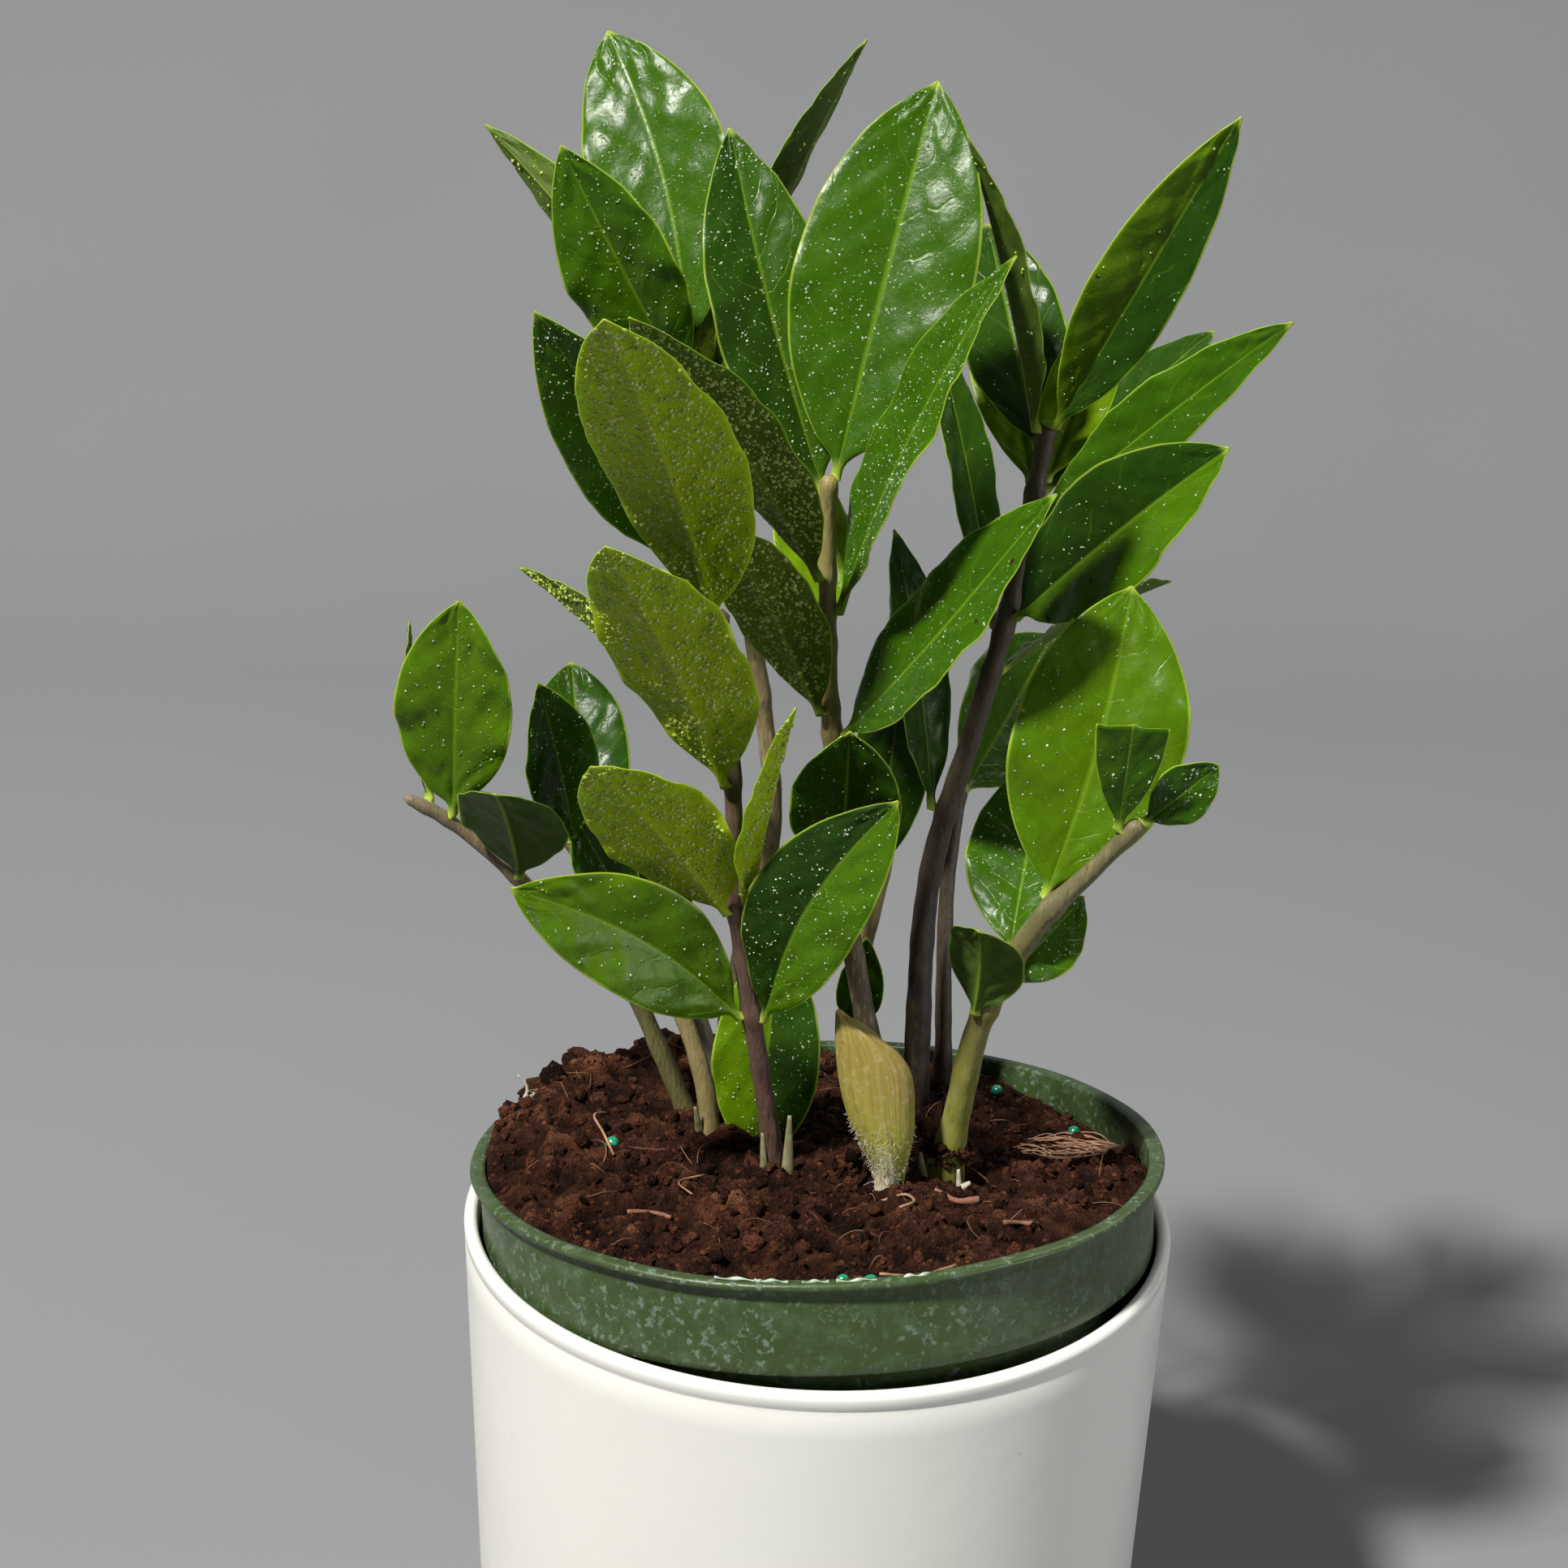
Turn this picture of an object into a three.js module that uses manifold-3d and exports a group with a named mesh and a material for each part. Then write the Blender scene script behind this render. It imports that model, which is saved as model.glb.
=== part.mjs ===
// A ZZ plant in its green nursery pot, which stands a little askew inside a white cachepot.
// Millimetres, +Z up, the front of the plant towards -Y. The origin is the centre of the cachepot's
// underside. Stems and leaves are solids of their own; each clears what it grows from by a hair.
import * as THREE from "three";
import { mergeVertices } from "three/addons/utils/BufferGeometryUtils.js";
import Module from "manifold-3d";

const wasm = await Module();
wasm.setup();

// ---- Driving dimensions, in millimetres and degrees ----------------------------------------

const GAP = 0.3; // what touching pieces keep between them
const ROUND_SIDES = 48; // facets around each pot

const CACHEPOT_HEIGHT = 138;
const CACHEPOT_WALL = 3;
const CACHEPOT_FLOOR = 5;
const CACHEPOT_TAPER = 0.03; // radius lost for each millimetre below the mouth
const CACHEPOT_FOOT_CHAMFER = 2.5;
const CACHEPOT_FLOOR_FILLET = 4;
const CACHEPOT_CLEARANCE = 0.35; // between the mouth and the collar wedged in it

const NURSERY_RIM_DIAMETER = 152;
const NURSERY_WALL = 1.2;
const NURSERY_FLOOR = 1.6;
const NURSERY_LIP_HEIGHT = 1.8;
const NURSERY_LIP_OVERHANG = 2.2;
const NURSERY_COLLAR_HEIGHT = 20;
const NURSERY_COLLAR_STEP = 2.2;
const NURSERY_BASE_DIAMETER = 104;
const NURSERY_TILT_FRONT = 6.5; // the front edge stands higher than the back
const NURSERY_TILT_SIDE = 2.8; // the right edge stands higher than the left
const RIM_RISE = 13; // the middle of the rim, above the cachepot's mouth

const DRAIN_HOLES = 6;
const DRAIN_RADIUS = 4.5;
const DRAIN_CIRCLE_INSET = 14; // from the edge of the pot's base to the middle of a hole
const DRAIN_SIDES = 10;

const SOIL_DROP = 3.5; // soil level at the wall, below the rim
const SOIL_SIDES = 40;
const SOIL_HEAP = 9; // how much the back left is heaped up
const SOIL_CROWN = 4; // how much the middle is heaped up
const SOIL_HOLLOW = 8; // how much the right back has sunk

const FOLIAGE_HEIGHT = 240; // from the rim to the highest leaf tip
const LEAF_THICKNESS = 0.9;
const STALK_WIDTH = 2.4; // of the short stalk that a leaf starts with
const STALK_SHARE = 0.05; // of the leaf's length
const STEM_SIDES = 8;
const STEM_STEP = 9; // millimetres of route to one ring of the tube
const ROOTED_DEPTH = 16; // how far a stem goes on below the soil
const BURIED_LEAF_GAP = 0.7; // around the blade that comes up out of the soil

// The plant's own routes and angles below are drawn for a plant of this height in a pot with this
// much room; the drawn plant is then stretched to the height and the pot given above.
const DRAWN_HEIGHT = 240;
const DRAWN_SOIL_RADIUS = 72.3;

// Each stem: the radius at its foot and at its end, and its route up from the soil, measured from the
// middle of the nursery pot's rim.
const STEMS = {
  centre: {
    foot: 3.1,
    end: 1.5,
    route: [
      [15, 31, 0], [10.5, 28, 15], [6, 26, 37], [2, 20, 60],
      [0, 14, 86], [-2, 8, 111], [-3, 2, 149],
    ],
  },
  front: {
    foot: 2.4,
    end: 1.4,
    route: [[-9, -13, 0], [-14, -16, 32], [-18, -19, 58], [-20, -22, 92], [-23, -25, 127]],
  },
  back_left: {
    foot: 2.6,
    end: 1.6,
    route: [
      [-23, 28, 2], [-22, 28, 17], [-18, 27, 41], [-13, 25, 66],
      [-16, 22, 96], [-22, 18, 130], [-32, 15, 170],
    ],
  },
  right: {
    foot: 3.3,
    end: 1.7,
    route: [[22, 38, 0], [23, 39, 50], [31, 38, 86], [37, 36, 113], [41, 34, 140], [43, 33, 156]],
  },
  right_back: {
    foot: 2.2,
    end: 1.6,
    route: [[29, 50, 0], [28, 50, 23], [28, 53, 46], [30, 57, 66]],
  },
  low_right: {
    foot: 4.3,
    end: 1.5,
    route: [[27, -11, 0], [29, -13, 16], [33, -17, 41], [43, -22, 64], [52, -25, 76], [61, -28, 88]],
  },
  low_left: {
    foot: 2.5,
    end: 1.1,
    route: [[-29, 11, -1], [-36, 10, 17], [-45, 9, 36], [-67, 5, 59], [-82, 2, 73], [-90, 0, 78]],
  },
  left: {
    foot: 2.4,
    end: 1.4,
    route: [[-24, 3, 0], [-26, 3, 14], [-31, 4, 29], [-38, 6, 42], [-49, 8, 55], [-57, 9, 68]],
  },
  left_back: {
    foot: 2.4,
    end: 1.8,
    route: [[-22, 19, 2], [-29, 23, 21], [-36, 27, 38]],
  },
  back: {
    foot: 2.3,
    end: 1.5,
    route: [[7, 50, 2], [8, 50, 21], [11, 50, 38], [15, 50, 60]],
  },
};

// Each leaf: its stem; how far along the stem it starts (0 foot, 1 end); the heading and the rise of
// its tip as seen from there; its length and width; the heading that its upper side looks to; how much
// its length bends back from that side; how much its two halves fold up along the midrib; and, where
// it has one, how far its middle sways sideways and the share of its length where it is cut off.
const LEAVES = [
  ["centre", 0.99, 61, 64, 86, 38, -95, 12, 12],
  ["centre", 0.97, 150, 71, 75, 26, -72, 14, 14, -2],
  ["centre", 0.81, -44, 61, 87, 27, -160, 16, 14],
  ["centre", 0.86, -128, 45, 81, 23, 60, 20, 12],
  ["centre", 0.62, -43, 49, 80, 25, -150, 14, 14, 4],
  ["centre", 0.66, -128, 53, 58, 20, 75, 18, 14],
  ["centre", 0.42, -89, 55, 46, 24, -90, 20, 14],
  ["centre", 0.76, 102, 42, 48, 18, -80, 10, 14],
  ["front", 0.99, -112, 53, 78, 30, 70, 14, 10],
  ["front", 0.72, -123, 55, 67, 30, 70, 14, 14],
  ["front", 0.5, -140, 48, 50, 27, 80, 12, 10],
  ["front", 0.31, -143, 36, 66, 24, -80, 18, 12, 5],
  ["front", 0.49, -61, 70, 53, 14, 165, 8, 30],
  ["front", 0.3, -38, 60, 64, 24, -98, 18, 12, -4],
  ["front", 0.75, 135, 22, 72, 20, -20, 10, 34],
  ["back_left", 1.0, 122, 58, 74, 31, -95, 10, 12, 4],
  ["back_left", 0.97, -120, 50, 63, 23, -110, 14, 14],
  ["back_left", 0.9, 144, 54, 66, 22, 178, 12, 20],
  ["back_left", 0.95, 139, 38, 83, 16, 70, 20, 20],
  ["back_left", 0.82, 88, 72, 61, 20, 120, 10, 14],
  ["back_left", 0.73, -135, 48, 78, 27, -110, 14, 14],
  ["back_left", 0.96, 46, 58, 81, 15, 150, 12, 20],
  ["back_left", 0.56, 135, 18, 52, 24, 70, 12, 12],
  ["right", 1.0, -50, 56, 79, 26, -150, 8, 26],
  ["right", 0.99, -136, 67, 66, 14, 20, 8, 30],
  ["right", 0.96, 106, 47, 60, 24, -90, 10, 14],
  ["right", 0.91, 103, 45, 56, 18, -90, 10, 14],
  ["right", 0.9, 42, 31, 62, 20, -130, 10, 18],
  ["right", 0.87, -41, 40, 75, 24, -130, 10, 16],
  ["right", 0.73, -48, 40, 71, 28, -120, 12, 18],
  ["right", 0.64, 44, 12, 60, 16, -160, 12, 20],
  ["right", 0.7, 115, 59, 75, 14, -50, 10, 14],
  ["right", 0.42, -178, 80, 65, 16, -50, 12, 14],
  ["right_back", 0.98, 66, 25, 62, 30, -70, 10, 12],
  ["low_right", 0.73, 48, 70, 65, 35, -95, 12, 10, 2],
  ["low_right", 0.57, 77, 38, 50, 26, -110, 12, 12],
  ["low_right", 0.96, -84, 76, 48, 14, -90, 0, 8, 0, 0.5],
  ["low_right", 1.0, 10, 40, 18, 12, -60, 8, 10],
  ["low_right", 0.44, -94, 60, 27, 18, 60, 30, 20],
  ["low_left", 0.9, -67, 80, 49, 25, -95, 8, 10],
  ["low_left", 0.71, -93, 47, 36, 24, 80, 20, 14],
  ["low_left", 0.95, 108, 50, 42, 12, 170, 8, 20],
  ["left", 0.98, -103, 62, 46, 18, -30, 12, 14],
  ["left", 0.9, 103, 46, 49, 22, -80, 12, 12],
  ["back", 0.77, -57, 82, 62, 18, -90, 10, 14],
];

// A leaf that starts below the soil beside the front stem, and the sheath of a new shoot.
const BURIED_LEAF = { foot: [-13.5, 0.5, -7], shape: [72, 80, 55, 24, -95, 8, 12] };
const SHOOT = {
  route: [[15, -21, -9], [15.5, -21, 0], [14.5, -21, 12], [11.5, -21, 24], [6.5, -21, 38]],
  widths: [6, 7, 15, 16, 2.5],
  depths: [5.5, 6, 9, 8, 2],
};
const SHOOT_SIDES = 10;

// ---- Sizes worked out from those above -----------------------------------------------------

const rad = THREE.MathUtils.degToRad;
const RIM_RADIUS = NURSERY_RIM_DIAMETER / 2;
const COLLAR_RADIUS = RIM_RADIUS - NURSERY_LIP_OVERHANG;
const BODY_RADIUS = COLLAR_RADIUS - NURSERY_COLLAR_STEP;
const BASE_RADIUS = NURSERY_BASE_DIAMETER / 2;
const SOIL_RADIUS = COLLAR_RADIUS - NURSERY_WALL - GAP;

const TILT = new THREE.Euler(-rad(NURSERY_TILT_FRONT), -rad(NURSERY_TILT_SIDE), 0, "YXZ");
const TILTED_AXIS = new THREE.Vector3(0, 0, 1).applyEuler(TILT);
const TILT_COS = TILTED_AXIS.z;
const TILT_SIN = Math.hypot(TILTED_AXIS.x, TILTED_AXIS.y);

// The nursery pot's axis passes through the middle of the mouth, and the low side of its base stands
// on the cachepot's floor.
const RIM_HEIGHT = CACHEPOT_HEIGHT + RIM_RISE;
const RIM_CENTRE = new THREE.Vector3(TILTED_AXIS.x, TILTED_AXIS.y, 0)
  .multiplyScalar(RIM_RISE / TILT_COS)
  .setZ(RIM_HEIGHT);
const NURSERY_HEIGHT = (RIM_HEIGHT - CACHEPOT_FLOOR - GAP - BASE_RADIUS * TILT_SIN) / TILT_COS;

const PLAN_STRETCH = SOIL_RADIUS / DRAWN_SOIL_RADIUS;
const HEIGHT_STRETCH = FOLIAGE_HEIGHT / DRAWN_HEIGHT;

// ---- Geometry helpers ----------------------------------------------------------------------

// A closed skin through rings of the same number of points. A ring of one point is a pole, and a
// wider ring at either end is capped with a fan.
function skin(rings) {
  const points = [];
  const starts = [];
  for (const ring of rings) {
    starts.push(points.length);
    points.push(...ring);
  }
  const faces = [];
  const sides = Math.max(...rings.map((ring) => ring.length));
  for (let i = 0; i + 1 < rings.length; i++) {
    for (let k = 0; k < sides; k++) {
      const next = (k + 1) % sides;
      const [a, b] = [starts[i] + k, starts[i] + next];
      const [c, d] = [starts[i + 1] + k, starts[i + 1] + next];
      if (rings[i].length === 1) faces.push([starts[i], d, c]);
      else if (rings[i + 1].length === 1) faces.push([a, b, starts[i + 1]]);
      else faces.push([a, b, d], [a, d, c]);
    }
  }
  for (const [ring, start, first] of [
    [rings[0], starts[0], true],
    [rings.at(-1), starts.at(-1), false],
  ]) {
    for (let k = 1; k + 1 < ring.length; k++) {
      faces.push(first ? [start, start + k + 1, start + k] : [start, start + k, start + k + 1]);
    }
  }
  const geometry = new THREE.BufferGeometry();
  geometry.setAttribute(
    "position",
    new THREE.Float32BufferAttribute(points.flatMap((p) => [p.x, p.y, p.z]), 3),
  );
  geometry.setIndex(faces.flat());
  return geometry;
}

function lathe(profile, sides) {
  return new THREE.LatheGeometry(profile.map(([r, z]) => new THREE.Vector2(r, z)), sides).rotateX(
    Math.PI / 2,
  );
}

function arc(centreR, centreZ, radius, fromDegrees, toDegrees, steps) {
  return Array.from({ length: steps + 1 }, (_, i) => {
    const angle = rad(fromDegrees + ((toDegrees - fromDegrees) * i) / steps);
    return [centreR + radius * Math.cos(angle), centreZ + radius * Math.sin(angle)];
  });
}

function toSolid(geometry) {
  const bare = geometry.clone();
  bare.deleteAttribute("normal");
  bare.deleteAttribute("uv");
  const merged = mergeVertices(bare, 1e-4);
  return new wasm.Manifold(
    new wasm.Mesh({
      numProp: 3,
      vertProperties: new Float32Array(merged.attributes.position.array),
      triVerts: new Uint32Array(merged.index.array),
    }),
  );
}

function fromSolid(solid) {
  const mesh = solid.getMesh();
  const geometry = new THREE.BufferGeometry();
  geometry.setAttribute("position", new THREE.BufferAttribute(mesh.vertProperties, 3));
  geometry.setIndex(new THREE.BufferAttribute(mesh.triVerts, 1));
  return geometry;
}

function material(color, roughness) {
  return new THREE.MeshStandardMaterial({ color, roughness, metalness: 0 });
}

const part = new THREE.Group();

function addPiece(name, geometry, look) {
  const mesh = new THREE.Mesh(geometry, look);
  mesh.name = name;
  part.add(mesh);
  return mesh;
}

// ---- Nursery pot ---------------------------------------------------------------------------

// Its outside, from the middle of the base up to the lip, measured down from the rim.
function nurseryOutside() {
  return [
    [0, -NURSERY_HEIGHT],
    [BASE_RADIUS, -NURSERY_HEIGHT],
    [BODY_RADIUS, -NURSERY_COLLAR_HEIGHT],
    [COLLAR_RADIUS, -NURSERY_COLLAR_HEIGHT],
    [COLLAR_RADIUS, -NURSERY_LIP_HEIGHT],
    ...arc(
      RIM_RADIUS - NURSERY_LIP_HEIGHT / 2,
      -NURSERY_LIP_HEIGHT / 2,
      NURSERY_LIP_HEIGHT / 2,
      -90,
      90,
      4,
    ),
  ];
}

// The same walls from the inside, less a clearance: the pot's own inside with none, the soil with GAP.
function nurseryInside(clearance) {
  const ledge = -NURSERY_COLLAR_HEIGHT + NURSERY_WALL + clearance;
  const inset = NURSERY_WALL + clearance;
  return [
    [COLLAR_RADIUS - inset, ledge],
    [BODY_RADIUS - inset, ledge],
    [BASE_RADIUS - inset, -NURSERY_HEIGHT + NURSERY_FLOOR + clearance],
  ];
}

function nurseryPotGeometry() {
  const inside = nurseryInside(0);
  const shell = lathe(
    [
      ...nurseryOutside(),
      [COLLAR_RADIUS - NURSERY_WALL, 0],
      ...inside,
      [0, -NURSERY_HEIGHT + NURSERY_FLOOR],
    ],
    ROUND_SIDES,
  );
  let solid = toSolid(shell);
  for (let i = 0; i < DRAIN_HOLES; i++) {
    const turn = (2 * Math.PI * i) / DRAIN_HOLES;
    const reach = BASE_RADIUS - DRAIN_CIRCLE_INSET;
    const drill = new THREE.CylinderGeometry(
      DRAIN_RADIUS,
      DRAIN_RADIUS,
      4 * NURSERY_FLOOR,
      DRAIN_SIDES,
    )
      .rotateX(Math.PI / 2)
      .translate(reach * Math.cos(turn), reach * Math.sin(turn), -NURSERY_HEIGHT);
    solid = solid.subtract(toSolid(drill));
  }
  return fromSolid(solid);
}

const nurseryPot = addPiece("nursery_pot", nurseryPotGeometry(), material(0x3c5a3a, 0.55));
nurseryPot.rotation.copy(TILT);
nurseryPot.position.copy(RIM_CENTRE);

// ---- Cachepot ------------------------------------------------------------------------------

// How wide the mouth must be for every point of the tilted nursery pot to clear the tapered wall.
function nurseryReach() {
  const outline = nurseryOutside();
  let reach = 0;
  for (let i = 0; i + 1 < outline.length; i++) {
    for (let share = 0; share <= 1; share += 0.1) {
      const r = THREE.MathUtils.lerp(outline[i][0], outline[i + 1][0], share);
      const z = THREE.MathUtils.lerp(outline[i][1], outline[i + 1][1], share);
      for (let turn = 0; turn < 2 * Math.PI; turn += Math.PI / 36) {
        const p = new THREE.Vector3(r * Math.cos(turn), r * Math.sin(turn), z)
          .applyEuler(TILT)
          .add(RIM_CENTRE);
        if (p.z > CACHEPOT_HEIGHT) continue;
        reach = Math.max(reach, Math.hypot(p.x, p.y) + CACHEPOT_TAPER * (CACHEPOT_HEIGHT - p.z));
      }
    }
  }
  return reach;
}

const FACET_SLACK = 1 / Math.cos(Math.PI / ROUND_SIDES); // a facet's middle lies inside its circle
const MOUTH_RADIUS = (nurseryReach() + CACHEPOT_CLEARANCE) * FACET_SLACK;
const CACHEPOT_RADIUS = MOUTH_RADIUS + CACHEPOT_WALL;

function cachepotGeometry() {
  const lipRadius = CACHEPOT_WALL / 2;
  const lipCentre = MOUTH_RADIUS + lipRadius;
  const footRadius = CACHEPOT_RADIUS - CACHEPOT_TAPER * CACHEPOT_HEIGHT;
  const floorRadius = MOUTH_RADIUS - CACHEPOT_TAPER * (CACHEPOT_HEIGHT - CACHEPOT_FLOOR);
  const fillet = CACHEPOT_FLOOR_FILLET;
  return lathe(
    [
      [0, 0],
      [footRadius - CACHEPOT_FOOT_CHAMFER, 0],
      [footRadius, CACHEPOT_FOOT_CHAMFER],
      ...arc(lipCentre, CACHEPOT_HEIGHT - lipRadius, lipRadius, 0, 180, 6),
      ...arc(floorRadius - fillet, CACHEPOT_FLOOR + fillet, fillet, 0, -90, 3),
      [0, CACHEPOT_FLOOR],
    ],
    ROUND_SIDES,
  );
}

addPiece("cachepot", cachepotGeometry(), material(0xe6e5dc, 0.35));

// ---- Stems ---------------------------------------------------------------------------------

// From the drawn plant to the real one: stretched to the pot and the height, and set on the rim.
function settle(geometry) {
  return geometry.scale(PLAN_STRETCH, PLAN_STRETCH, HEIGHT_STRETCH).translate(0, 0, RIM_HEIGHT);
}

function routeCurve(route) {
  return new THREE.CatmullRomCurve3(route.map((p) => new THREE.Vector3(...p)), false, "centripetal");
}

const curves = {};
for (const [name, stem] of Object.entries(STEMS)) curves[name] = routeCurve(stem.route);

function stemRadius(stem, along) {
  return THREE.MathUtils.lerp(stem.foot, stem.end, along);
}

function stemRings(name, extra) {
  const stem = STEMS[name];
  const curve = curves[name];
  const steps = Math.ceil(curve.getLength() / STEM_STEP);
  const frames = curve.computeFrenetFrames(steps, false);
  const ring = (centre, i, radius) =>
    Array.from({ length: STEM_SIDES }, (_, k) => {
      const turn = (2 * Math.PI * k) / STEM_SIDES;
      return centre
        .clone()
        .addScaledVector(frames.normals[i], radius * Math.cos(turn))
        .addScaledVector(frames.binormals[i], radius * Math.sin(turn));
    });
  const root = curve.getPointAt(0);
  root.z -= ROOTED_DEPTH + extra;
  const rings = [ring(root, 0, stem.foot + extra)];
  for (let i = 0; i <= steps; i++) {
    rings.push(ring(curve.getPointAt(i / steps), i, stemRadius(stem, i / steps) + extra));
  }
  return rings;
}

const STEM_LOOKS = {
  centre: 0x8c7c4e,
  front: 0x4f3a33,
  back_left: 0x7d6a48,
  right: 0x352b22,
  right_back: 0x443a2e,
  low_right: 0x857d4a,
  low_left: 0x5b5736,
  left: 0x8a7f52,
  left_back: 0x6f6a58,
  back: 0x80713f,
};

for (const name of Object.keys(STEMS)) {
  addPiece("stem_" + name, settle(skin(stemRings(name, 0))), material(STEM_LOOKS[name], 0.6));
}

// ---- Leaves --------------------------------------------------------------------------------

const LEAF_STATIONS = [0, 0.05, 0.13, 0.26, 0.42, 0.58, 0.74, 0.89, 1];

// Half the width, as a share of the widest: a blunt base, widest before the middle, a pointed tip.
function leafOutline(along) {
  return Math.sin(Math.PI * along ** 0.85) ** 0.85;
}

function headingVector(heading, rise) {
  const h = rad(heading);
  const r = rad(rise);
  return new THREE.Vector3(Math.cos(r) * Math.cos(h), Math.cos(r) * Math.sin(h), Math.sin(r));
}

const FACE_LIFT = 20; // a leaf's upper side looks a little upwards

function leafRings(base, shape, extra) {
  const [heading, rise, length, width, face, bend, fold, sway = 0, cut = 1] = shape;
  const axis = headingVector(heading, rise);
  const normal = headingVector(face, FACE_LIFT);
  normal.addScaledVector(axis, -normal.dot(axis)).normalize();
  const side = new THREE.Vector3().crossVectors(axis, normal);
  const bow = rad(Math.max(bend, 1));
  const bowRadius = length / (2 * Math.sin(bow / 2));
  const foldAngle = rad(fold);
  const stations = [...LEAF_STATIONS.filter((along) => along < cut), cut];
  return stations.map((along) => {
    const swing = bow * (along - 0.5);
    const spine = base
      .clone()
      .addScaledVector(axis, bowRadius * (Math.sin(swing) + Math.sin(bow / 2)))
      .addScaledVector(normal, bowRadius * (Math.cos(swing) - Math.cos(bow / 2)))
      .addScaledVector(side, sway * Math.sin(Math.PI * along));
    if (along === 1) return [spine.addScaledVector(axis, extra)];
    if (along === 0) spine.addScaledVector(axis, -extra);
    const up = normal.clone().applyAxisAngle(side, -swing);
    const stalk = along <= STALK_SHARE;
    const half = (stalk ? STALK_WIDTH / 2 : (width / 2) * leafOutline(along)) + extra;
    const thick = (stalk ? STALK_WIDTH / 2 : LEAF_THICKNESS) / 2 + extra;
    const edge = (sign) =>
      spine
        .clone()
        .addScaledVector(side, sign * half * Math.cos(foldAngle))
        .addScaledVector(up, half * Math.sin(foldAngle));
    return [
      edge(1),
      spine.clone().addScaledVector(up, -thick),
      edge(-1),
      spine.clone().addScaledVector(up, thick),
    ];
  });
}

// Where a leaf leaves its stem: on the stem's surface, on the side that the leaf heads for.
function leafBase(stemName, along, heading, rise) {
  const curve = curves[stemName];
  const tangent = curve.getTangentAt(along);
  const outward = headingVector(heading, rise);
  outward.addScaledVector(tangent, -outward.dot(tangent)).normalize();
  const clear = stemRadius(STEMS[stemName], along) + GAP + STALK_WIDTH / 4;
  return curve.getPointAt(along).addScaledVector(outward, clear);
}

const leafLook = material(0x2c6414, 0.3);
const leafCounts = {};
for (const [stemName, along, ...shape] of LEAVES) {
  leafCounts[stemName] = (leafCounts[stemName] ?? 0) + 1;
  const base = leafBase(stemName, along, shape[0], shape[1]);
  const name = "leaf_" + stemName + "_" + leafCounts[stemName];
  addPiece(name, settle(skin(leafRings(base, shape, 0))), leafLook);
}

function buriedLeafRings(extra) {
  return leafRings(new THREE.Vector3(...BURIED_LEAF.foot), BURIED_LEAF.shape, extra);
}

addPiece("leaf_from_soil", settle(skin(buriedLeafRings(0))), leafLook);

// ---- New shoot -----------------------------------------------------------------------------

function shootRings(extra) {
  return SHOOT.route.map((centre, i) =>
    Array.from({ length: SHOOT_SIDES }, (_, k) => {
      const turn = (2 * Math.PI * k) / SHOOT_SIDES;
      return new THREE.Vector3(
        centre[0] + (SHOOT.widths[i] / 2 + extra) * Math.cos(turn),
        centre[1] + (SHOOT.depths[i] / 2 + extra) * Math.sin(turn),
        centre[2] - (i === 0 ? extra : 0),
      );
    }),
  );
}

addPiece("new_shoot", settle(skin(shootRings(0))), material(0xa8984f, 0.75));

// ---- Soil ----------------------------------------------------------------------------------

// A rounded rise of the surface about a point, in shares of the soil's radius.
function swell(x, y, atX, atY, spread) {
  return Math.exp(-((x - atX) ** 2 + (y - atY) ** 2) / (2 * spread ** 2));
}

function soilLevel(x, y) {
  const awayFromWall = 1 - (x * x + y * y) ** 3;
  const heaped =
    SOIL_HEAP * swell(x, y, -0.6, 0.6, 0.45) + SOIL_CROWN * swell(x, y, -0.1, -0.05, 0.4);
  return -SOIL_DROP + awayFromWall * heaped - SOIL_HOLLOW * swell(x, y, 0.75, 0.35, 0.3);
}

const SOIL_RINGS = [0.94, 0.8, 0.6, 0.4, 0.2];

function soilGeometry() {
  const around = (radius, heightAt) =>
    Array.from({ length: SOIL_SIDES }, (_, k) => {
      const turn = (2 * Math.PI * k) / SOIL_SIDES;
      const [x, y] = [radius * Math.cos(turn), radius * Math.sin(turn)];
      return new THREE.Vector3(x, y, heightAt(x / SOIL_RADIUS, y / SOIL_RADIUS));
    });
  const walls = nurseryInside(GAP).reverse();
  const rings = walls.map(([r, z]) => around(r, () => z));
  rings.push(around(SOIL_RADIUS, soilLevel));
  for (const share of SOIL_RINGS) rings.push(around(share * SOIL_RADIUS, soilLevel));
  rings.push([new THREE.Vector3(0, 0, soilLevel(0, 0))]);
  const block = skin(rings).applyMatrix4(
    new THREE.Matrix4().compose(
      RIM_CENTRE,
      new THREE.Quaternion().setFromEuler(TILT),
      new THREE.Vector3(1, 1, 1),
    ),
  );
  let solid = toSolid(block);
  for (const name of Object.keys(STEMS)) {
    solid = solid.subtract(toSolid(settle(skin(stemRings(name, GAP)))));
  }
  solid = solid.subtract(toSolid(settle(skin(shootRings(GAP)))));
  solid = solid.subtract(toSolid(settle(skin(buriedLeafRings(BURIED_LEAF_GAP)))));
  return fromSolid(solid);
}

addPiece("soil", soilGeometry(), material(0x4a2c20, 0.95));

export default part;
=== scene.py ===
"""A ZZ plant in its green nursery pot, which stands a little askew inside a white cachepot.

Lengths in the tables and functions are millimetres in the row frame; add_mesh turns them into metres.
"""
import math

import bmesh
import bpy
import numpy as np
from mathutils import Matrix, Vector, noise


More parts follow.
